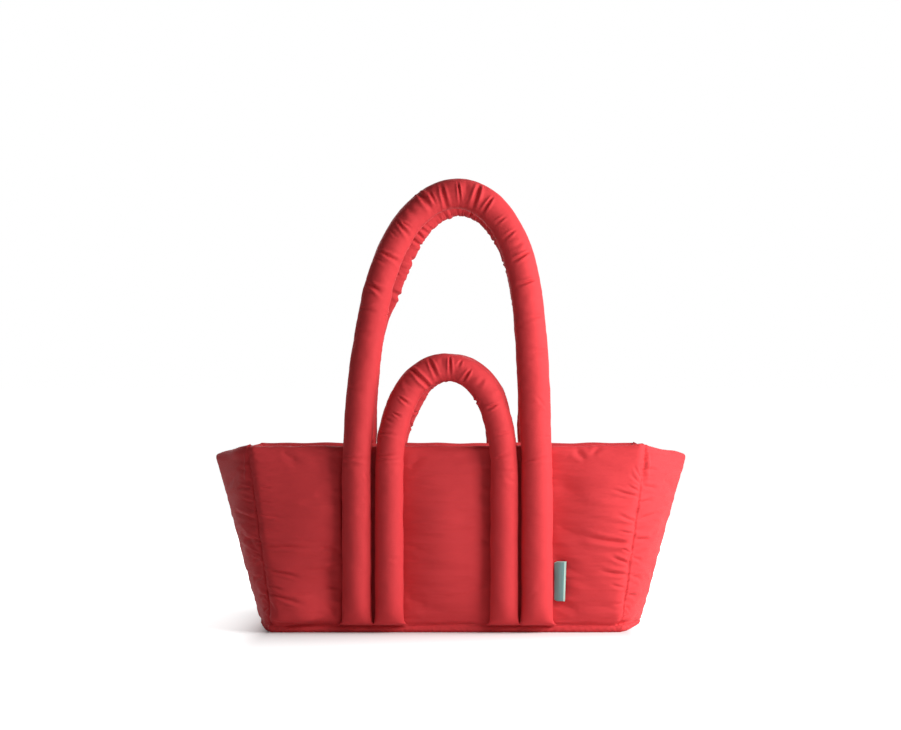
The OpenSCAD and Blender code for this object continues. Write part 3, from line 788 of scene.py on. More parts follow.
press = {
    "fold": (1.35, 0.85),             # depth and width of a panel's folds, as shares of those above
    "gussetFold": 1.5,                # depth of a gusset's folds, and height of its puckers
    "gussetPucker": 2.0,
    "rearLift": 9,                    # how much higher a gusset's folds lie at its rear seam, in mm
    "flatFold": 14,                   # the cloth is smooth this close to a gusset's fold
    "strip": (46, 110),               # between these the legs are sewn on
    "open": (47, 108),                # and swells fade there
    "top": 215,                       # puckers are laid out up to here
    "levels": (8, 204),               # the relief lies between these
    "line": (1.8, 0.9),               # depth and width of the line that a seam draws
    "fine": ((3.5, 9, 0.10), (9, 30, 0.22)),
    "far": 400,                       # stands for a seam that is on the other side
}


# What a panel and a gusset share: faded ends, the seam's line, and fine unevenness.
def finishRelief(out, z, seam, seed):
    low, high = press["levels"]
    depth, width = press["line"]
    out = out * smooth((z - low) / 10) * smooth((high - z) / 8)
    out = out - depth * smooth((z - 6) / 40 + 0.3) * np.exp(-(seam / width) ** 2)
    return (out + layered(z.shape, seed + 5, *press["fine"])) * fineFace


# How far the cloth stands out from where it was blown to, for a front or rear wall, in mm.
def panelRelief(folds, swells, seed):
    x = frontU * cornerPoint(fineLevel, fineDepth, 1)[0] / mm
    z = fineLevel / mm * np.ones_like(x)
    fromMiddle = np.abs(x)
    seam = halfWidth(fineLevel) / mm - fromMiddle
    inner, outer = press["strip"]
    out = np.zeros(x.shape)
    for side in (-1, 1):
        here = x * side > 0
        away = np.where(here, seam, press["far"])
        for n, (spacing, reach, height) in enumerate(seamPuckers):
            out += puckers(z, away, spacing, reach, height, seed + 10 * n + side, press["top"], slant=0.3)
        # small puckers beside the long leg and inside the short one
        for gap, spacing, height, more, slant in ((fromMiddle - outer, 11, 0.35, 40, -0.4),
                                                  (inner - fromMiddle, 12, 0.30, 50, 0.4)):
            away = np.where(here & (gap >= 0), gap, press["far"])
            out += puckers(z, away, spacing, 7, height, seed + more + side, press["top"], slant=slant)
    deeper, narrower = press["fold"]
    for start, end, depth, width, bow in folds:
        out += crease(x, z, start, end, deeper * depth, narrower * width, bow)
    inner, outer = press["open"]
    offLegs = smooth((fromMiddle - outer) / 6 + (fromMiddle < inner)) * smooth(seam / 15)
    for acrossAt, upAt, height, half, tall in swells:
        out += height * offLegs * np.exp(-((x - acrossAt) / half) ** 2 - ((z - upAt) / tall) ** 2)
    return finishRelief(out, z, seam, seed)


def gussetRelief(folds, seed, frontSeamFirst):
    t = sideT * np.ones_like(fineLevel)
    z = fineLevel / mm * np.ones_like(t)
    length = gussetRun(fineLevel)[0] / mm
    first, last = t * length, (2 - t) * length
    out = np.zeros(t.shape)
    for k, away in enumerate((first, last) if frontSeamFirst else (last, first)):
        for n, (spacing, reach, height) in enumerate(seamPuckers):
            out += puckers(z, away, spacing, reach, height * press["gussetPucker"], seed + 10 * n + 30 * k,
                           press["top"], slant=-0.25)
        lift = press["rearLift"] * k
        for (fromAway, fromUp), (toAway, toUp), depth, width, bow in folds:
            out += crease(away, z, (fromAway, fromUp + lift), (toAway, toUp + lift),
                          press["gussetFold"] * depth, width, bow)
    out *= 1 - 0.9 * np.exp(-(np.abs(t - 1) * length / press["flatFold"]) ** 2)
    return finishRelief(out, z, np.minimum(first, last), seed)


relief = np.concatenate([
    panelRelief(frontFolds, frontSwells, 100)[:, :-1], gussetRelief(gussetFolds, 200, True)[:, :-1],
    panelRelief(rearFolds, rearSwells, 300)[:, :-1], gussetRelief(gussetFolds, 400, False)[:, :-1]], 1) * mm


# Plan of the whole ring at one level and depth, in the order of its columns.
def planRing(level, depth, u=frontU, t=sideT, dips=False):
    level, depth = np.array([[level]]), np.array([[depth]])

    def panel(first, last):
        side = u[:, :-1]
        edge = np.where(side < 0, cornerPoint(level, depth, first)[0], cornerPoint(level, depth, last)[0])
        faceY = cornerPoint(level, depth)[1]
        return np.stack([edge * side, faceY + 0 * side, level + 0 * side], -1)

    def gusset(side):
        return gussetPoint(t[:, :-1], level, depth, side)

    flat = np.concatenate([panel(0, 1), gusset(1), turned(panel(1, 0)), turned(gusset(0))], 1)
    if not dips:
        flat[..., 2] = level
    return flat


# How far the rim hangs under the level it was cut to: at the rear and its corners, with small
# waves all round. It fades in from a level up.
rimHang = {
    "rear": 2.0 * mm, "corners": 0.8 * mm, "wave": 0.6 * mm, "from": 120 * mm,
    "over": 120 * mm,                           # the rear's share comes in over this much depth
    "cornerAt": (216 * mm, 24 * mm),            # from the middle, and half its width
    "waves": (9.5 * mm, 23 * mm, 8 * mm),       # two across, one along the gussets
    "peak": 2.4 * mm, "peakWidth": 15 * mm,     # the front right corner stands up a little
}


def rimSag(grid):
    x, y, z = grid[..., 0], grid[..., 1], grid[..., 2]
    cornerX, cornerHalf = rimHang["cornerAt"]
    short, long, deep = rimHang["waves"]
    back = smooth(0.5 + y / rimHang["over"])
    ends = np.exp(-((np.abs(x) - cornerX) / cornerHalf) ** 2) * back
    wave = np.sin(x / short) * np.sin(x / long + 1.3) + 0.6 * np.sin(y / deep + 0.7)
    hang = rimHang["rear"] * back + rimHang["corners"] * ends + rimHang["wave"] * wave
    besideX, besideY = x - bag["rimWidth"] / 2, y + bag["rimDepth"] / 2
    hang -= rimHang["peak"] * np.exp(-(besideX ** 2 + besideY ** 2) / rimHang["peakWidth"] ** 2)
    return hang * smooth((z - rimHang["from"]) / (bag["height"] - rimHang["from"]))


base = {
    "edge": 3.6 * mm,             # radius of the base's edge
    "seam": (1.3 * mm, 7.3 * mm),   # depth and level of the seam round the base
    "seamHalf": 2.2 * mm,         # half the width of the dip above it
    "shallow": (0.8, 22 * mm),    # how much less it dips on the gussets, and how far round the plump corner
    # how far the corners are rounded in, up to which level, how far round, and how it fades upward
    "cornerTuck": (3.2 * mm, 18 * mm, 9 * mm, 1),
    "foldTuck": (1.4 * mm, 14 * mm, 45 * mm, 1.5),   # the same for the gussets' folds
    "pucker": (2.7 * mm, 7.4 * mm),   # height and spacing of the band's puckers
    "plump": 0.9 * mm,            # how far the band stands out between its edges
    "seed": 61,
    "corner": (3.2 * mm, 11 * mm, 15 * mm, 9 * mm),   # swell of the front left corner, its level and reach
    # depth inward and level of the rows at the hidden back of the wall
    "hidden": [(11.9 * mm, 161.2 * mm), (11 * mm, 161 * mm), (10 * mm, 163 * mm), (9 * mm, 158 * mm),
               (9 * mm, 110 * mm), (9 * mm, 60 * mm), (9 * mm, 9 * mm), (40 * mm, 8.5 * mm)],
}


def baseRows():
    r = base["edge"]
    under = [(40 * mm, 0.0), (24 * mm, 0.0), (14 * mm, 0.0), (9 * mm, 0.0)]
    turn = [(r * (1 - math.sin(a)), r * (1 - math.cos(a))) for a in np.linspace(0, math.pi / 2, 13)]
    deep, level = base["seam"]
    band = [(0.2 * mm, 4.8 * mm), (0.5 * mm, 5.6 * mm), (deep * 0.7, 6.4 * mm), (deep, level)]
    return under + turn + band


underRows = baseRows()
underside = np.concatenate([planRing(z, d) for d, z in underRows], 0)
hidden = np.concatenate([planRing(z, d) for d, z in base["hidden"]], 0)
shellGrid = np.concatenate([underside, ring, hidden], 0)
along = np.concatenate([[0], np.cumsum(np.linalg.norm(np.diff(ring[0], axis=0), axis=1))])[None, :]
level = np.array([z for d, z in underRows])[:, None]


# Criss-cross puckers of the band between the floor and the base seam.
def bandRelief():
    height, pitch = base["pucker"]
    lean = level / base["seam"][1]
    drift = softNoise(underside.shape[:2], 40, 14, base["seed"]) * 0.5
    strong = smooth(0.25 + 0.8 * softNoise(underside.shape[:2], 60, 34, base["seed"] + 1))
    one = np.abs(np.sin(math.pi * (along / pitch + 0.9 * lean + drift)))
    other = np.abs(np.sin(math.pi * (along / (pitch * 1.23) - 1.0 * lean - drift)))
    fade = np.sin(math.pi * np.clip(lean, 0, 1)) ** 0.8
    return (height * (np.minimum(one, other) - 0.3) * (0.3 + 0.7 * strong) + base["plump"]) * fade


relief = np.concatenate([bandRelief(), relief, np.zeros(hidden.shape[:2])], 0)
# near the base seam the wall dips to the seam, but not on the gussets or at the front left corner
levels = shellGrid[..., 2]
faceRows = slice(len(underside), len(underside) + fineOuter + 1)
columnX = ring[0, :, 0]
onGusset, aroundCorner = base["shallow"]
fromCorner = columnX + bag["baseWidth"] / 2
shallow = np.where(np.abs(columnX) > bag["baseWidth"] / 2, onGusset, 0.0)
shallow = np.maximum(shallow, np.exp(-(fromCorner / aroundCorner) ** 2))
aboveSeam = levels[faceRows] - bag["seamHeight"]
relief[faceRows] -= base["seam"][0] * np.exp(-(aboveSeam / base["seamHalf"]) ** 2) * (1 - shallow)
# the front left corner is plump down to the floor
plump, plumpLevel, plumpWide, plumpTall = base["corner"]
atCorner = (ring[0, :, 1] < 0) * np.exp(-((fromCorner - 6 * mm) / plumpWide) ** 2)
relief[:faceRows.stop] += plump * atCorner * np.exp(-((levels[:faceRows.stop] - plumpLevel) / plumpTall) ** 2)
# the four corners and the gussets' folds are rounded in at the floor
frontSpan, sideSpan = len(frontAt) - 1, len(sideAt) - 1
tucked = np.zeros(relief.shape)
for kind, columns in (("cornerTuck", np.cumsum([0, frontSpan, sideSpan, frontSpan])),
                      ("foldTuck", np.cumsum([frontSpan + atFold, frontSpan + sideSpan]))):
    deep, top, around, power = base[kind]
    away = np.minimum.reduce([np.linalg.norm(ring[0] - ring[0][k], axis=1) for k in columns])
    tucked += deep * smooth(1 - levels / top) ** power * np.exp(-(away / around) ** 2)[None, :]
tucked[len(underside) + len(rowAt):] = 0
outward = gridNormals(shellGrid, True)
shellGrid = shellGrid + outward * relief[..., None]
sag = rimSag(shellGrid)
shellGrid[..., 2] -= sag
inward = -shellGrid * np.array([1, 1, 0])
inward /= np.linalg.norm(inward, axis=2, keepdims=True) + 1e-9
shellGrid = shellGrid + inward * tucked[..., None]
shellGrid[..., 2] = np.maximum(shellGrid[..., 2], 0)
bagShell = sewGrid("bagShell", shellGrid, around=True, caps=True)
finishPiece(bagShell, "shell", "shell_nylon", 80,
            "front_shell", "rear_shell", "left_gusset_shell", "right_gusset_shell", "base_shell",
            "rim_facing", "front_wadding", "rear_wadding", "left_gusset_wadding",
            "right_gusset_wadding", "base_wadding")
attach(bagShell, "bag")
print("bag shell sewn,", len(bagShell.data.polygons), "faces")


# The lining runs from behind the facing down the walls and over the floor to its middle line.
lining = {
    "top": 160 * mm,
    "floor": 9.4 * mm,
    "turn": 9 * mm,                # radius between wall and floor
    "rows": (46, 7, 12),           # of the wall, the turn and the floor
    "columns": (84, 40),           # of the front and of a gusset
    "finer": (1.7, 1.8),           # finished rows and columns for each trial one
    "puff": 3.0 * mm,
    "floorPuff": 2.6 * mm,
    "gathered": 0.02,
    "thick": 0.5 * mm,
    "pocket": (98 * mm, 22 * mm, 146 * mm),   # kept flat behind the pocket: half width, from, to
    "middle": 80 * mm,             # the level from which the spare cloth is measured
    "wrinkles": ((5, 12, 0.5), (2.5, 5, 0.16)),
    "lowest": 9.1 * mm,
    "seed": 31,
}
liningCare = {"pressure": 30, "bend": 0.02, "frames": 22, "carry": 10, "cap": 3 * mm, "jolt": (3, 9, 0.6)}


def liningRows():
    wallRows, turnRows, floorRows = lining["rows"]
    r, low, inside = lining["turn"], lining["floor"], bag["wall"]
    tucked = [(inside - 0.25 * mm, lining["top"]), (inside - 0.15 * mm, lining["top"] - 2 * mm)]
    down = [(inside + 0.1 * mm, z) for z in np.linspace(lining["top"] - 4 * mm, low + r, wallRows)]
    turn = [(inside + r * (1 - math.cos(a)), low + r * (1 - math.sin(a)))
            for a in np.linspace(0, math.pi / 2, turnRows + 1)[1:]]
    half = halfDepth(low)
    across = [(d, low) for d in np.linspace(inside + r, half, floorRows + 1)[1:]]
    return tucked + down + turn + across


def behindPocket(grid):
    half, low, high = lining["pocket"]
    x, y, z = grid[..., 0], grid[..., 1], grid[..., 2]
    return (y > 60 * mm) & (np.abs(x) < half) & (z > low) & (z < high)


def makeLining():
    rows = liningRows()
    frontCount, sideCount = lining["columns"]
    u = np.linspace(-1, 1, frontCount + 1)[None, :]
    t = np.linspace(0, 2, sideCount + 1)[None, :]
    made = np.concatenate([planRing(z, d, u, t, dips=True) for d, z in rows], 0)
    wallCount = len(rows) - lining["rows"][1] - lining["rows"][2]
    shares = np.concatenate([(u[0, :-1] + 1) / 2, t[0, :-1] / 2, (u[0, :-1] + 1) / 2, t[0, :-1] / 2])[None, :]
    up = np.clip(np.linspace(1, 0, wallCount), 0, 1)[:, None]
    puff = np.zeros(made.shape[:2])
    puff[:wallCount] = np.sin(np.pi * shares) ** 0.7 * np.sin(np.pi * up) ** 0.7 * lining["puff"]
    flat = behindPocket(made)
    puff[flat] = 0
    y = made[..., 1]
    made = made + gridNormals(made, True) * puff[..., None]
    onFloor = smooth((np.arange(len(rows)) - wallCount) / 8)[:, None]
    floorHalf = halfDepth(lining["floor"])
    quilt = np.sin(np.pi * np.clip((floorHalf - np.abs(y)) / floorHalf, 0, 1))
    made[..., 2] += lining["floorPuff"] * onFloor * quilt
    sewn = np.zeros(made.shape[:2])
    sewn[:2] = sewn[-1] = 1
    sewn[wallCount + 2] = 0.6
    sewn[flat] = 1
    sewn[:, np.cumsum([0, frontCount, sideCount, frontCount])] = 1
    middle = lining["middle"]
    cut = made.copy()
    cut[:wallCount, :, 2] = middle + (made[:wallCount, :, 2] - middle) * (1 + lining["gathered"])
    rowStep, columnStep, height = liningCare["jolt"]
    jolt = softNoise(sewn.shape, rowStep, columnStep, lining["seed"]) * height * mm * (1 - sewn)
    cut = cut + gridNormals(made, True) * jolt[..., None]
    made = inflate("liningTrial", cut, made, sewn, liningCare, around=True)
    rowStep, columnStep = lining["finer"]
    grid = resample(made, np.linspace(0, len(made) - 1, int(len(made) * rowStep)))
    columns = made.shape[1]
    grid = resample(grid, np.linspace(0, columns, int(columns * columnStep), endpoint=False), 1, closed=True)
    wrinkle = layered(grid.shape[:2], lining["seed"] + 2, *lining["wrinkles"])
    row = np.arange(len(grid))
    wrinkle *= smooth(row / 8)[:, None] * smooth((len(grid) - row) / 8)[:, None]
    wrinkle[behindPocket(grid)] *= 0.15
    grid = grid + gridNormals(grid, True) * wrinkle[..., None] * mm
    grid[..., 2] = np.maximum(grid[..., 2], lining["lowest"])
    piece = sewGrid("bagLining", grid, around=True)
    editAll(piece)
    bpy.ops.mesh.remove_doubles(threshold=0.3 * mm)
    stopEdit()
    thicken(piece, lining["thick"])
    finishPiece(piece, "lining", "lining", 80,
                "front_lining", "rear_lining", "left_gusset_lining", "right_gusset_lining", "base_lining")
    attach(piece, "bag")
    return piece


bagLining = makeLining()
print("lining sewn in,", len(bagLining.data.polygons), "faces")


# A slip pocket hangs flat on the rear lining, sewn down at its sides and its bottom edge.
pocket = {
    "width": 190 * mm, "height": 118 * mm, "bottom": 25 * mm, "hem": 14 * mm,
    "seam": 2.2 * mm, "off": 0.6 * mm, "thick": 0.7 * mm, "bulge": 2.4 * mm, "slack": 0.012, "seed": 51,
    "rows": 56, "columns": 88, "finer": 1.6,
    "hemStep": (0.5, 1.2),               # how far the hem stands up, and over what height, in mm
    "hemSeam": (0.35, 1.6, 0.7),         # depth, height over the hem's edge, and width of its seam
    "hemPucker": (5, 6, 0.25),           # spacing, reach and height of the puckers under it
}
pocketCare = {"pressure": 9, "bend": 0.05, "frames": 20, "carry": 8, "cap": 3 * mm, "jolt": (6, 8, 0.5)}


# A point over the rear lining: across, up, and off it towards the middle of the bag.
def onRearLining(x, z, off):
    return np.stack([x, halfDepth(z) - bag["wall"] - off, z + 0 * x], -1)


def makePocket():
    u = np.linspace(-1, 1, pocket["columns"] + 1)[None, :]
    v = np.linspace(0, 1, pocket["rows"] + 1)[:, None]
    x = u * pocket["width"] / 2 + 0 * v
    z = pocket["bottom"] + v * pocket["height"] + 0 * u
    swollen = np.cos(u * np.pi / 2) ** 0.8 * np.sin(np.pi / 2 * np.clip(v * 1.6, 0, 1)) * pocket["bulge"]
    made = onRearLining(x, z, pocket["off"] + swollen)[:, ::-1]
    sewn = np.zeros(made.shape[:2])
    sewn[0] = 1
    sewn[:, [0, 1, -2, -1]] = 1
    cut = made.copy()
    cut[..., 0] *= 1 + pocket["slack"]
    cut = jolted(cut, made, sewn, pocketCare["jolt"], pocket["seed"])
    made = inflate("pocketTrial", cut, made, sewn, pocketCare)
    at = [np.linspace(0, n - 1, int(n * pocket["finer"])) for n in made.shape[:2]]
    grid = resample(resample(made, at[0]), at[1], 1)
    up = (grid[..., 2] - pocket["bottom"]) / mm
    hemAt = (pocket["height"] - pocket["hem"]) / mm
    stands, over = pocket["hemStep"]
    deep, raised, width = pocket["hemSeam"]
    relief = stands * smooth((up - hemAt) / over) - deep * np.exp(-((up - hemAt - raised) / width) ** 2)
    fromSide = (grid[..., 0] - grid[..., 0].min()) / mm
    relief += puckers(fromSide, hemAt - up, *pocket["hemPucker"], pocket["seed"] + 1, end=200)
    grid = grid + gridNormals(grid) * relief[..., None] * mm
    grid[..., 1] = np.minimum(grid[..., 1], halfDepth(grid[..., 2]) - bag["wall"] - 0.3 * mm)
    piece = sewGrid("slipPocket", grid)
    thicken(piece, pocket["thick"], offset=1)
    finishPiece(piece, "lining", "lining", 80, "pocket_panel", "pocket_hem")
    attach(piece, "bag")
    return piece, grid


slipPocket, pocketGrid = makePocket()
print("pocket sewn on,", len(slipPocket.data.polygons), "faces")


# A handle is one stuffed tube: sewn up the panel, free over its arch, and sewn down again.
handles = {
    "long": {
        # middle line above the crease: half its width and its height
        "arch": [(94.5, -190), (94.5, -100), (94.5, -40), (94.3, -12), (92.6, 12), (91.0, 45), (88.3, 80),
                 (84.3, 118), (78.6, 154), (69.8, 190), (57.6, 221), (42.0, 245.3), (23.0, 261.0), (0, 267.4)],
        "rise": 266 * mm, "radius": 16 * mm,
        "sides": 44, "fineSides": 92, "step": 2.3 * mm, "crown": 150 * mm,
        # radius at heights over the crease
        "fullness": [(-194, 15.6), (-30, 15.7), (-13, 15.2), (6, 15.6), (40, 16.2), (90, 16.3), (140, 15.8),
                     (230, 15.3), (300, 15.3)],
    },
    "short": {
        "arch": [(60.3, -190), (60.3, -100), (60.3, -40), (60.0, -12), (58.2, 6), (55.2, 20), (50.6, 36),
                 (44.0, 52), (33.5, 68), (17.0, 79.5), (0, 82.5)],
        "rise": 80 * mm, "radius": 15.2 * mm,
        "sides": 42, "fineSides": 88, "step": 2.2 * mm, "crown": 10 * mm,
        "fullness": [(-194, 14.9), (-30, 14.9), (-13, 14.3), (6, 15.0), (30, 15.0), (100, 14.6), (200, 14.6)],
    },
}
legs = {
    "out": 24 * mm,            # how far a sewn leg stands out from the panel
    "footTop": 30 * mm,        # where a leg starts to close in towards the base seam
    "footOut": 7 * mm,         # and how far it still stands out there
    "flare": 0.3,              # how much wider the foot is
    "crease": 197.5 * mm,      # where the sewn part ends
    "under": 0.4 * mm,         # how far its back lies off the panel
    # how far under the crease its middle line leaves the panel and its flat back turns round, each
    # with the height over which that happens
    "leaves": (8 * mm, 16 * mm),
    "rounds": (4 * mm, 14 * mm),
    "across": (50 * mm, 60 * mm),   # over these widths the left side's sway and girth pass into the right's
    "lean": math.radians(4),
}
handleCare = {"pressure": 45, "bend": 0.08, "frames": 24, "carry": 2, "cap": 4.5 * mm, "jolt": (2, 5, 0.35)}
holding = {
    "spare": (0.4, 0.004),     # most of the spare cloth on the inner side, and what there is everywhere
    "back": -0.45,             # a leg's back is sewn down: up to this sine of the angle round the tube
    "outer": (0.75, 8, 0.75),  # the outer side is held: from this cosine, how sharply, how firmly
}
tube = {
    # finished rows: spacing on the crown and away from it, how far inside the crown's ends they
    # are closest, and how far that reaches, as a share of half the crown
    "rows": (0.36, 0.62, 10, 0.9),
    "placed": {"ridge": 0.6, "fade": (0.36, 0.7), "flare": (0.5, 1.1)},
    "before": 3,               # how far round the tube a placed crease starts before its first point, in mm
    "stray": {"ridge": 0.5, "fade": (0.4, 0.4)},
    # spacing, share of the reach, and height of the ribs on the shirred inner side
    "ribs": ((2.9, 0.7, 0.55), (6.5, 1.1, 0.9)),
    "least": 0.12,             # what is left of the ribs below the crown
    "legSeams": (1.22, 1.78),  # where a leg is sewn down, in half turns
    "legPucker": (9, 5, 0.5),  # spacing, reach and height there
    "fine": ((5, 7, 0.10), (14, 16, 0.22)),
}
stray = {
    "clear": 20,                       # none nearer to the feet, and the crown counts from this much lower
    "inner": (195, 40),                # on the crown: their angle round the tube, and its spread
    "smooth": (15, 165),               # angles where the crown of a front handle has none
    "half": ((4, 9), (8, 20)),         # half their length in mm, off the crown and on it
    "depth": ((0.3, 0.9), (0.8, 2.4)),
    "width": (1.1, 2.0),
    "lean": 3.5,
}

# Creases of each handle in mm, as (across, up) on the front of its tube: from, to, depth, width,
# and how far it runs on round the tube past its end.
longCreases = [
    ((-32, 463), (-16, 444), 4.2, 1.9, 8), ((-17, 464), (-11, 447), 1.8, 1.3, 4),
    ((-7, 471), (0, 445), 2.8, 1.8, 8), ((12, 473), (14, 453), 2.2, 1.0, 6),
    ((35, 471), (28, 446), 3.8, 1.9, 8), ((49, 457), (39, 443), 2.8, 1.3, 8),
    ((61, 436), (53, 431), 1.6, 1.2, 6), ((-54, 434), (-42, 415), 3.0, 1.4, 8),
    ((-48, 431), (-37, 422), 1.5, 1.0, 0), ((-42, 447), (-31, 434), 1.0, 2.6, 4),
    ((-72, 402), (-51, 387), 3.0, 1.5, 8), ((-76, 394), (-60, 384), 1.3, 1.1, 0),
    ((-84, 367), (-66, 354), 3.2, 1.8, 6), ((-80, 370), (-68, 348), 1.3, 1.4, 4),
    ((72, 422), (60, 412), 1.6, 1.3, 4), ((86, 399), (71, 388), 2.8, 1.3, 6),
    ((92, 369), (74, 364), 2.4, 1.4, 4), ((-60, 424), (-50, 412), 1.0, 1.0, 0),
    ((-109, 187), (-76, 183), 1.6, 1.5, 0), ((-112, 182), (-84, 177), 0.9, 2.2, 0),
    ((78, 180), (112, 186), 1.5, 1.4, 0), ((-97, 316), (-76, 312), 0.8, 2.4, 4),
    ((104, 296), (88, 292), 1.0, 2.0, 4), ((-104, 258), (-84, 252), 0.8, 2.6, 4),
    ((104, 242), (88, 236), 0.8, 2.4, 4), ((100, 334), (82, 329), 1.2, 1.7, 4),
    ((-92, 342), (-74, 336), 1.0, 1.7, 4), ((80, 410), (66, 401), 0.9, 2.4, 4),
    ((20, 473), (20, 452), 0.8, 3.0, 4),
]
shortCreases = [
    ((-40, 277), (-18, 257), 4.2, 1.8, 6), ((-33, 268), (-22, 258), 1.4, 1.0, 0),
    ((-19, 288), (-10, 268), 2.8, 1.5, 6), ((3, 290), (3.5, 272), 2.6, 1.1, 6),
    ((16, 286), (11, 277), 1.5, 1.1, 0), ((25, 276), (17, 266), 3.0, 1.4, 6),
    ((39, 266), (31, 259), 1.2, 2.2, 4), ((53, 239), (43, 235), 2.4, 1.2, 4),
    ((-50, 247), (-39, 239), 2.4, 1.2, 2), ((-55, 231), (-46, 225), 1.8, 1.1, 0),
    ((-66, 226), (-54, 219), 1.3, 1.2, 2), ((-72, 210), (-50, 207), 1.4, 1.3, 4),
    ((-73, 188), (-45, 188), 1.5, 1.4, 0), ((-73, 182), (-44, 183), 1.1, 1.2, 0),
    ((66, 210), (50, 208), 1.0, 1.3, 4), ((46, 183), (70, 188), 1.6, 1.4, 0),
    ((72, 172), (48, 170), 0.9, 1.6, 0), ((-46, 264), (-34, 254), 0.9, 2.6, 2),
    ((58, 250), (46, 245), 0.8, 2.4, 2), ((-6, 289), (-3, 272), 0.7, 2.6, 2),
]


# The rear handles crease in the same way, with left and right swapped.
def swapped(creases, share):
    return [((-startX, startZ), (-endX, endZ), share * depth, width, past)
            for (startX, startZ), (endX, endZ), depth, width, past in creases]


# The middle line of a handle, left and right alike, as a smooth curve near its chosen points:
# points [across, height over the crease], from the left foot to the right one.
def archLine(size):
    right = np.array(size["arch"]) * mm
    right[0, 1] = bag["seamHeight"] - legs["crease"]
    knots = np.concatenate([right * np.array([-1, 1]), right[::-1][1:]])
    line = resample(knots, np.linspace(0, len(knots) - 1, 900))
    steps = np.concatenate([[0], np.cumsum(np.linalg.norm(np.diff(line, axis=0), axis=1))])
    count = int(steps[-1] / size["step"])
    at = np.linspace(0, steps[-1], count + 1)
    return np.stack([np.interp(at, steps, line[:, 0]), np.interp(at, steps, line[:, 1])], -1), at


# Middle line of a front handle in the bag's frame.
def handleLine(size, place):
    line, along = archLine(size)
    across, high = line[:, 0], line[:, 1]
    sewnZ = legs["crease"] + high
    sewnY = -halfDepth(sewnZ) - (legs["out"] - size["radius"])
    baseY = -halfDepth(legs["crease"]) - (legs["out"] - size["radius"])
    freeY = baseY + np.maximum(high, 0) * math.sin(legs["lean"])
    freeZ = legs["crease"] + np.maximum(high, 0) * math.cos(legs["lean"])
    before, over = legs["leaves"]
    free = smooth((high + before) / over)
    lifted = np.clip(high / size["rise"], 0, 1)
    x = across + place["aside"] * lifted ** 1.6
    x = x + place["shift"] * smooth(high / (50 * mm))
    stations = np.array(place["sway"]) * mm
    leftSway, rightSway = (np.interp(high, stations[:, 0], stations[:, k]) for k in (1, 2))
    x = x + between(leftSway, rightSway, smooth(0.5 + across / legs["across"][0]))
    return np.stack([x, between(sewnY, freeY, free), between(sewnZ, freeZ, free)], -1), along, high


def handleGrid(size, place):
    line, along, high = handleLine(size, place)
    heading = np.gradient(line, axis=0)
    heading /= np.linalg.norm(heading, axis=1, keepdims=True)
    ahead = np.array([0, -1, 0]) - heading * (heading @ np.array([0, -1, 0]))[:, None]
    ahead /= np.linalg.norm(ahead, axis=1, keepdims=True)
    outward = np.cross(ahead, heading)
    stations = np.array(size["fullness"]) * mm
    radius = np.interp(high, stations[:, 0], stations[:, 1])[:, None]
    radius = radius * between(*place["girth"], smooth(0.5 + line[:, :1] / legs["across"][1]))
    phi = np.linspace(0, 2 * np.pi, size["sides"], endpoint=False)[None, :]
    foot = np.clip((high - (bag["seamHeight"] - legs["crease"])) / legs["footTop"], 0, 1)[:, None]
    footShape = np.sqrt(1 - (1 - foot) ** 2)
    panelAt = -(legs["out"] - size["radius"]) + legs["under"]
    before, over = legs["rounds"]
    free = smooth((high + before) / over)[:, None]
    forward = np.maximum(radius * np.sin(phi), between(panelAt, -radius * 1.02, free))
    reach = (forward - panelAt) * between(legs["footOut"] / legs["out"], 1, footShape) + panelAt
    forward = np.where(free < 1, reach, forward)
    sideways = radius * np.cos(phi) * (1 + legs["flare"] * (1 - footShape) ** 2)
    grid = line[:, None] + sideways[..., None] * outward[:, None] + forward[..., None] * ahead[:, None]
    grid[0, :, 2] = np.maximum(grid[0, :, 2], bag["seamHeight"] + 0.3 * mm)
    return grid, line, along, high, phi, outward


# Spreads a share of what the cloth did evenly along the tube, so that fewer pleats stay in it.
def evened(moved, share):
    reach = 9
    weights = np.hanning(2 * reach + 1)
    weights /= weights.sum()
    padded = np.pad(moved, ((reach, reach), (0, 0), (0, 0)), mode="edge")
    even = sum(w * padded[k:k + len(moved)] for k, w in enumerate(weights))
    return between(moved, even, share)


def blowHandle(size, place, seed):
    grid, line, along, high, phi, outward = handleGrid(size, place)
    # how much longer the inner side's cloth is than the way it has to go
    across = np.linalg.norm(np.gradient(grid, axis=0), axis=2)
    longest = across.max(1, keepdims=True)
    most, least = holding["spare"]
    spareCloth = place["spare"] * np.clip(longest / across - 1, 0, most) + least
    sewn = np.zeros(grid.shape[:2])
    back = np.sin(phi) < holding["back"]
    sewn[(high[:, None] < 0) & back] = 1
    sewn[:2] = sewn[-2:] = 1
    start, sharpness, firmness = holding["outer"]
    outerSide = np.clip((np.cos(phi) - start) * sharpness, 0, 1) * np.ones_like(sewn)
    sewn = np.maximum(sewn, firmness * outerSide * (high[:, None] > 5 * mm))
    cut = jolted(grid, grid, sewn, handleCare["jolt"], seed, around=True)
    blown = inflate(place["name"] + "Trial", cut, grid, sewn, handleCare, around=True, spare=spareCloth)
    grid = grid + evened(blown - grid, place["even"])
    return grid, line, along, high, outward


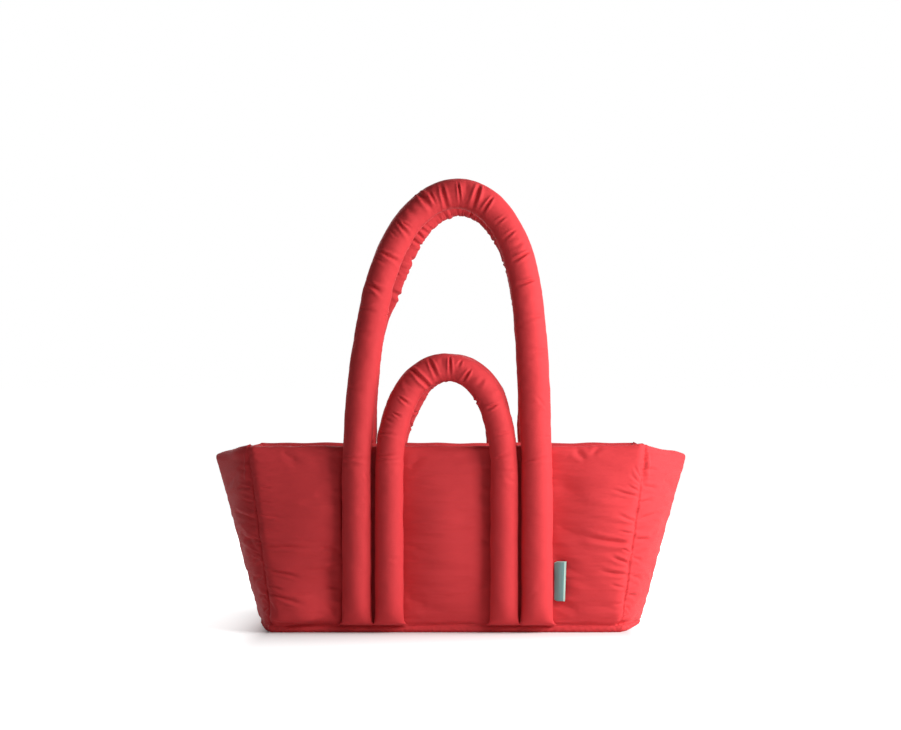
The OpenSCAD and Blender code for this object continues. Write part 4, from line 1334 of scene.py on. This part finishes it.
# Creases at their places on the tube: from, to, depth and width, in mm along it and round it.
def placedCreases(size, place, line, along, outward):
    r = size["radius"] / mm

    def onTube(x, z):
        gap = np.hypot(line[:, 0] / mm - x, line[:, 2] / mm - z)
        k = int(np.argmin(gap))
        offset = (x - line[k, 0] / mm) * outward[k, 0] + (z - line[k, 2] / mm) * outward[k, 2]
        return float(along[k] / mm), math.acos(max(-1.0, min(1.0, offset / r)))

    for start, end, depth, width, past in place["creases"]:
        (a0, turn0), (a1, turn1) = onTube(*start), onTube(*end)
        yield (a0, turn0 * r - tube["before"]), (a1, turn1 * r + past), depth, width


# Small creases at random places, more of them on the inner side of the crown and at the back.
def strayCreases(size, place, along, high, seed):
    dice = np.random.default_rng(seed)
    low, top = stray["smooth"]
    for _ in range(place["stray"]):
        centre = dice.uniform(stray["clear"], along[-1] / mm - stray["clear"])
        bent = int(np.interp(centre, along / mm, high / mm) > size["crown"] / mm - stray["clear"])
        turnAt = dice.normal(*stray["inner"]) if bent else dice.uniform(0, 360)
        if place["side"] > 0 and bent and low < turnAt < top:
            continue
        half = dice.uniform(*stray["half"][bent])
        lean = dice.normal(0, stray["lean"])
        b = math.radians(turnAt) * size["radius"] / mm
        depth = dice.uniform(*stray["depth"][bent])
        width = dice.uniform(*stray["width"])
        yield (centre - lean, b - half), (centre + lean, b + half), depth, width


# A handle's tube with its folds and shirring, in mm over its length (a) and round its girth (b).
def tubeRelief(size, place, seed):
    blown, line, along, high, outward = blowHandle(size, place, seed)
    last = len(along) - 1
    crownFrom = np.interp(size["crown"], high[:last // 2], np.arange(last // 2))
    fine, coarse, start, share = tube["rows"]
    stationAt = graded(last, fine, coarse, (crownFrom + start, last / 2, last - crownFrom - start),
                       (last / 2 - crownFrom) * share)
    sidesAt = np.linspace(0, size["sides"], size["fineSides"], endpoint=False)
    grid = resample(resample(blown, stationAt), sidesAt, 1, closed=True)

    def atRows(values):
        return np.interp(stationAt, np.arange(last + 1), values)[:, None]

    a, up = atRows(along / mm), atRows(high / mm)
    end = along[-1] / mm
    r = size["radius"] / mm
    b = sidesAt[None, :] / size["sides"] * 2 * np.pi * r * np.ones_like(a)
    out = np.zeros(grid.shape[:2])
    for look, creases in ((tube["placed"], placedCreases(size, place, line, along, outward)),
                          (tube["stray"], strayCreases(size, place, along, high, seed))):
        for first, second, depth, width in creases:
            for wrap in (0, 2 * np.pi * r):      # a crease runs on over the line where the tube closes
                out += crease(a, b - wrap, first, second, depth, width, **look)
    # fine ribs on the shirred inner side, strongest on the left of the crown, where the tube is bent most
    strength, reach = place["shirred"]
    ribs = np.zeros(out.shape)
    for spacing, share, height in tube["ribs"]:
        ribs += puckers(a, b - np.pi * r, spacing, reach * share, height, seed + int(spacing * 10), end)
    crown = smooth((up - size["crown"] / mm) / 60)
    onRight = smooth((atRows(line[:, 0]) / mm - 20) / 30)
    out += ribs * np.maximum(crown, tube["least"]) * strength * (1 - 0.8 * onRight)
    # puckers where the leg is sewn to the panel
    onLeg = smooth((-4 - up) / 10)
    for seam in tube["legSeams"]:
        out += puckers(a, b - np.pi * seam * r, *tube["legPucker"], seed + 90, end) * onLeg
    out = place["deepest"] * np.tanh(out / place["deepest"])
    out = (out + layered(out.shape, seed + 5, *tube["fine"])) * smooth((up + 190) / 12)
    return grid + gridNormals(grid, True) * out[..., None] * mm


places = {
    # aside is how far the crown leans to the right, shift is of the whole arch, and sway is
    # (height, left side, right side) in mm
    "front_long_handle": {
        "name": "frontLongHandle", "kind": "long", "side": 1, "spare": 0.03, "even": 0.93,
        "girth": (0.975, 1.045),
        "aside": 11 * mm, "shift": 0.0, "sway": ((0, 0, 0), (130, 0, 1), (165, -1.2, 2.2), (205, -1.8, 2.6),
                                                 (240, -1, 1.5), (266, 0, 0)),
        "creases": longCreases, "stray": 12, "shirred": (0.14, 9), "deepest": 2.6,
    },
    "rear_long_handle": {
        "name": "rearLongHandle", "kind": "long", "side": -1, "spare": 0.7, "even": 0.2,
        "girth": (0.97, 0.97),
        "aside": 13 * mm, "shift": 0.0, "sway": ((0, 0, 0), (40, -3, 3), (110, -5, 4), (140, -3, 4),
                                                 (165, 2, 4), (200, 3, 4), (235, 2, 2), (266, 1, 1)),
        "creases": swapped(longCreases, 0.85), "stray": 50, "shirred": (1.5, 22), "deepest": 1.7,
    },
    "front_short_handle": {
        "name": "frontShortHandle", "kind": "short", "side": 1, "spare": 0.03, "even": 0.93,
        "girth": (1.0, 0.98),
        "aside": 0.0, "shift": 0.0, "sway": ((0, 0, 0),),
        "creases": shortCreases, "stray": 8, "shirred": (0.14, 8), "deepest": 2.4,
    },
    "rear_short_handle": {
        "name": "rearShortHandle", "kind": "short", "side": -1, "spare": 0.6, "even": 0.2,
        "girth": (1.0, 1.0),
        "aside": 0.0, "shift": 5 * mm, "sway": ((0, 0, 0),),
        "creases": swapped(shortCreases, 0.85), "stray": 26, "shirred": (0.7, 16), "deepest": 1.7,
    },
}
for order, (body, place) in enumerate(places.items()):
    grid = tubeRelief(handles[place["kind"]], place, 20 + 7 * order)
    if place["side"] < 0:
        grid = grid * np.array([1, -1, 1])
    piece = sewGrid(place["name"], grid, around=True, caps=True, flip=place["side"] < 0)
    stem = body.replace("_handle", "_leg")
    finishPiece(piece, "shell", "shell_nylon", 80, stem + "_left", stem + "_right", body, body + "_core")
    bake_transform(piece)
    print(place["name"], "sewn on,", len(piece.data.polygons), "faces")
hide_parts("front_leg_cores")
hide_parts("rear_leg_cores")


def makeTab():
    width, height, layer = tab["width"], tab["height"], tab["layer"]
    bpy.ops.object.select_all(action="DESELECT")
    bpy.ops.mesh.primitive_cube_add(size=1, location=(width / 2, 0, height / 2))
    piece = bpy.context.object
    piece.name = piece.data.name = "sideTab"
    piece.scale = (width, 2 * layer, height)
    bpy.ops.object.transform_apply(location=True, rotation=True, scale=True)
    editAll(piece)
    bpy.ops.mesh.subdivide(number_cuts=3)
    stopEdit()
    for edge in piece.data.edges:            # the folded edge is round
        ends = [piece.data.vertices[k].co for k in edge.vertices]
        edge.select = all(abs(p.x - width) < 1e-6 and abs(abs(p.y) - layer) < 1e-6 for p in ends)
    for face in piece.data.polygons:
        face.select = False
    bpy.ops.object.mode_set(mode="EDIT")
    bpy.ops.mesh.select_mode(type="EDGE")
    bpy.ops.mesh.bevel(offset=layer * tab["round"], segments=4)
    bpy.ops.mesh.select_all(action="SELECT")
    bpy.ops.mesh.subdivide(number_cuts=2)
    stopEdit()
    points = readPoints(piece.data)
    x, y, z = points.T
    share = np.clip(x / width, 0, 1)
    # the gap between the two layers closes at the fold and at the seam
    y = y + np.sign(y) * tab["gap"] * np.sin(np.pi * share)
    y = y - tab["curl"] * np.sin(np.pi * share * 0.9) * np.sin(z / height * 2.2 + 0.4)
    # the corners at the seam are tucked in, and the outer edge leans a little
    reach, amount = tab["pinch"]
    z = z + np.clip(1 - x / reach, 0, 1) * (height / 2 - z) * amount
    x = x - np.tan(np.radians(tab["lean"])) * (height - z) * share
    turn = math.radians(tab["turn"])
    placed = np.stack([tab["seam"][0] + x * math.cos(turn) + y * math.sin(turn),
                       tab["seam"][1] - x * math.sin(turn) + y * math.cos(turn), tab["bottom"] + z], -1)
    uvs = piece.data.uv_layers[0]
    uvs.name = "cut"
    for loop in piece.data.loops:
        k = loop.vertex_index
        uvs.data[loop.index].uv = (points[k, 0], points[k, 2])
    writePoints(piece.data, placed)
    finishPiece(piece, "tape", "label_tape", 50, "side_label")
    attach(piece, "side_label")
    return piece


sideTab = makeTab()
print("side tab sewn in,", len(sideTab.data.polygons), "faces")

metal = {"color": (0.42, 0.43, 0.45), "worn": (0.62, 0.62, 0.63), "rough": 0.34, "scratched": 0.22}


# Plated metal, brushed round the disc, duller in its fine scratches.
def makeMetal():
    material, tree, shader = newMaterial("platedMetal")
    brushed = addNoise(tree, addStretch(tree, objectPlace(tree), (500, 500, 4000)), detail=4.0)
    rough = addMath(tree, "ADD", addMath(tree, "MULTIPLY", brushed, metal["scratched"]),
                    metal["rough"] - metal["scratched"] / 2)
    feed(tree, shader, {
        "Base Color": addMix(tree, brushed, metal["color"], metal["worn"]), "Roughness": rough,
        "Normal": addBump(tree, brushed, 0.02 * mm), "Metallic": 1.0})
    return material


platedMetal = makeMetal()
for half in ("snap_stud_half", "snap_socket_half"):
    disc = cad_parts[half]
    for holder in disc.material_slots:
        holder.material = platedMetal
print("snap halves plated")


# One stitch: a short thread with rounded ends that dips into the cloth at both of them.
stitch = {
    "length": 3.0 * mm, "pitch": 4.2 * mm, "thick": 0.55 * mm, "stands": 0.12 * mm,
    "dip": 0.25 * mm, "end": 0.45,       # how far its ends dip, and their thickness as a share
}


def makeStitch():
    bpy.ops.object.select_all(action="DESELECT")
    bpy.ops.mesh.primitive_cylinder_add(vertices=6, radius=stitch["thick"] / 2, depth=stitch["length"] * 0.8,
                                        rotation=(0, math.pi / 2, 0))
    piece = bpy.context.object
    bpy.ops.object.transform_apply(location=True, rotation=True, scale=True)
    editAll(piece)
    bpy.ops.mesh.bisect(plane_co=(0, 0, 0), plane_no=(1, 0, 0))
    bpy.ops.mesh.select_mode(type="FACE")
    bpy.ops.mesh.select_all(action="DESELECT")
    stopEdit()
    for face in piece.data.polygons:
        face.select = abs(face.normal.x) > 0.9
    bpy.ops.object.mode_set(mode="EDIT")
    bpy.ops.mesh.extrude_faces_move(TRANSFORM_OT_shrink_fatten={"value": stitch["length"] * 0.1})
    stopEdit()
    points = readPoints(piece.data)
    out = np.abs(points[:, 0]) / (stitch["length"] / 2)
    points[:, 1:] *= np.where(out > 0.9, stitch["end"], 1.0)[:, None]
    points[:, 1] -= stitch["dip"] * out ** 2
    faces = [list(face.vertices) for face in piece.data.polygons]
    bpy.data.objects.remove(piece)
    return points, faces


def pointAt(line, steps, at):
    return np.array([np.interp(at, steps, line[:, k]) for k in range(3)])


# Copies of the stitch along a line of points, standing off the cloth along their normals.
def sewStitches(name, lines):
    points, faces = makeStitch()
    allPoints, allFaces, uvs = [], [], []
    for line, normal in lines:
        steps = np.concatenate([[0], np.cumsum(np.linalg.norm(np.diff(line, axis=0), axis=1))])
        count = max(1, int(steps[-1] / stitch["pitch"]))
        for number in range(count):
            at = (number + 0.5) / count * steps[-1]
            spot, out = pointAt(line, steps, at), pointAt(normal, steps, at)
            ahead = pointAt(line, steps, at + 1 * mm) - pointAt(line, steps, at - 1 * mm)
            ahead /= np.linalg.norm(ahead) + 1e-12
            out -= ahead * (out @ ahead)
            out /= np.linalg.norm(out) + 1e-12
            beside = np.cross(ahead, out)
            start = len(allPoints)
            local = points[:, :1] * ahead + (points[:, 1:2] + stitch["stands"]) * out + points[:, 2:] * beside
            allPoints.extend((spot + local).tolist())
            for face in faces:
                allFaces.append([start + k for k in face])
                uvs.extend((points[k, 0] + number * stitch["pitch"], points[k, 2]) for k in face)
    mesh = bpy.data.meshes.new(name)
    mesh.from_pydata(allPoints, [], allFaces)
    mesh.uv_layers.new(name="cut").data.foreach_set("uv", np.array(uvs, np.float32).ravel())
    piece = bpy.data.objects.new(name, mesh)
    stage.collection.objects.link(piece)
    editAll(piece)
    bpy.ops.mesh.normals_make_consistent(inside=False)
    stopEdit()
    finishPiece(piece, "thread", "shell_nylon", 50)
    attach(piece, "bag")
    print(name, "sewn,", len(mesh.polygons), "faces")


facingRow = len(underRows) + len(rowAt) - 3
hemLine, hemOut = shellGrid[facingRow], gridNormals(shellGrid, True)[facingRow]
hemLine = np.concatenate([hemLine, hemLine[:1]])
hemOut = np.concatenate([hemOut, hemOut[:1]])
sewStitches("facingStitches", [(hemLine, hemOut)])


# The pocket's seam runs down one side, along the bottom and up the other, and its hem is sewn.
def pocketLines():
    facing = gridNormals(pocketGrid)
    top = pocketGrid + facing * (pocket["thick"] + 0.05 * mm)
    middle = top.shape[0] // 2
    across, up = top[middle, :, 0], top[:, top.shape[1] // 2, 2]
    inset = pocket["width"] / 2 - pocket["seam"]
    left, right = (int(np.argmin(np.abs(across - side * inset))) for side in (-1, 1))
    low = int(np.argmin(np.abs(up - pocket["bottom"] - pocket["seam"])))
    hemLevel = pocket["bottom"] + pocket["height"] - pocket["hem"] + pocket["hemSeam"][1] * mm
    hem = int(np.argmin(np.abs(up - hemLevel)))
    wide, tall = slice(min(left, right), max(left, right) + 1), slice(low, None)
    return [(top[part], facing[part]) for part in ((tall, left), (tall, right), (low, wide), (hem, wide))]


sewStitches("pocketStitches", pocketLines())


studio = {
    "distance": 3.0,              # of the camera from the front of the bag
    "height": 281.4 * mm,
    "aside": 3.9 * mm,
    "frontPlane": 92 * mm,
    "column": 1.05 * mm,          # what one column of the frame covers at the front plane
    "columns": 901,
    "sky": 0.16,
    "lamps": {
        # azimuth to the right of the front, elevation, distance, size, power
        "keyLight": (46, 21, 0.9, 0.34, 5.2),
        "sideLight": (77, 20, 1.6, 0.6, 21.0),
        "rearLight": (192, 22, 1.8, 1.2, 9.0),
    },
    "paper": (0.8, 0.8, 0.8, 1),
    # as the camera sees it: the glow far off, the painted shadow taken off it at the bag, that shadow's reach,
    # and its stretch to the front
    "paperGlowAndPaintedShadow": (0.90, 0.88, 20 * mm, 7.5),
}


def makeCamera():
    camera = bpy.data.cameras.new("camera")
    camera.sensor_width = 36
    camera.lens = studio["distance"] / studio["column"] * camera.sensor_width / studio["columns"]
    camera.clip_end = 100
    eye = bpy.data.objects.new("camera", camera)
    eye.location = (studio["aside"], -studio["frontPlane"] - studio["distance"], studio["height"])
    eye.rotation_euler = (math.radians(90), 0, 0)
    stage.collection.objects.link(eye)
    stage.camera = eye


def makeLamps():
    aim = Vector((0, 0, 150 * mm))
    for name, (azimuth, elevation, distance, size, power) in studio["lamps"].items():
        turn, lift = math.radians(azimuth), math.radians(elevation)
        away = Vector((math.sin(turn) * math.cos(lift), -math.cos(turn) * math.cos(lift), math.sin(lift)))
        lamp = bpy.data.lights.new(name, "AREA")
        lamp.shape = "SQUARE"
        lamp.size = size
        lamp.energy = power
        holder = bpy.data.objects.new(name, lamp)
        holder.location = aim + away * distance
        holder.rotation_euler = (-away).to_track_quat("-Z", "Y").to_euler()
        stage.collection.objects.link(holder)


# One where a ray comes from the camera, a glossy surface or a clear one.
def seenRay(tree):
    path = tree.nodes.new("ShaderNodeLightPath")
    first = addMath(tree, "ADD", path.outputs["Is Camera Ray"], path.outputs["Is Glossy Ray"])
    return addMath(tree, "ADD", first, path.outputs["Is Transmission Ray"], clamp=True)


# Pale paper that shows white, with a painted shadow: its glow is weaker close round the bag's base.
def makeFloor():
    bpy.ops.mesh.primitive_plane_add(size=60, location=(0, 0, 0))
    floor = bpy.context.object
    floor.name = "floor"
    paper, tree, shader = newMaterial("palePaper")
    feed(tree, shader, {"Base Color": studio["paper"], "Roughness": 0.9, "Specular IOR Level": 0.0})
    far, paintedShadow, reach, stretch = studio["paperGlowAndPaintedShadow"]
    apart = objectPlace(tree)
    for operation, value in (("ABSOLUTE", None), ("SUBTRACT", (bag["baseWidth"] / 2, bag["baseDepth"] / 2, 0)),
                             ("MAXIMUM", (0, 0, 0)), ("DIVIDE", (1, stretch, 1)), ("LENGTH", None)):
        step = addNode(tree, "ShaderNodeVectorMath", {0: apart, 1: value}, operation=operation)
        apart = step.outputs["Value" if operation == "LENGTH" else "Vector"]
    # Painted shadow: the glow drops by the painted share at the base's edge and comes back by halves over each
    # reach.
    near = addMath(tree, "POWER", 0.5, addMath(tree, "MULTIPLY", apart, 1 / reach))
    strength = addMath(tree, "SUBTRACT", far, addMath(tree, "MULTIPLY", near, paintedShadow))
    shadowedGlow = addNode(tree, "ShaderNodeEmission", {"Strength": addMath(tree, "MULTIPLY", strength, seenRay(tree))})
    both = addNode(tree, "ShaderNodeAddShader", {0: shader.outputs[0], 1: shadowedGlow.outputs[0]})
    feed(tree, tree.nodes["Material Output"], {"Surface": both.outputs[0]})
    floor.data.materials.append(paper)


def makeSky():
    world = bpy.data.worlds.new("studioSky")
    world.use_nodes = True
    tree = world.node_tree
    brighter = addMath(tree, "MULTIPLY", seenRay(tree), 1 - studio["sky"])
    feed(tree, tree.nodes["Background"], {
        "Color": (1, 1, 1, 1), "Strength": addMath(tree, "ADD", brighter, studio["sky"])})
    stage.world = world


makeCamera()
makeLamps()
makeFloor()
makeSky()
stage.view_settings.view_transform = "Standard"
print("studio set up")
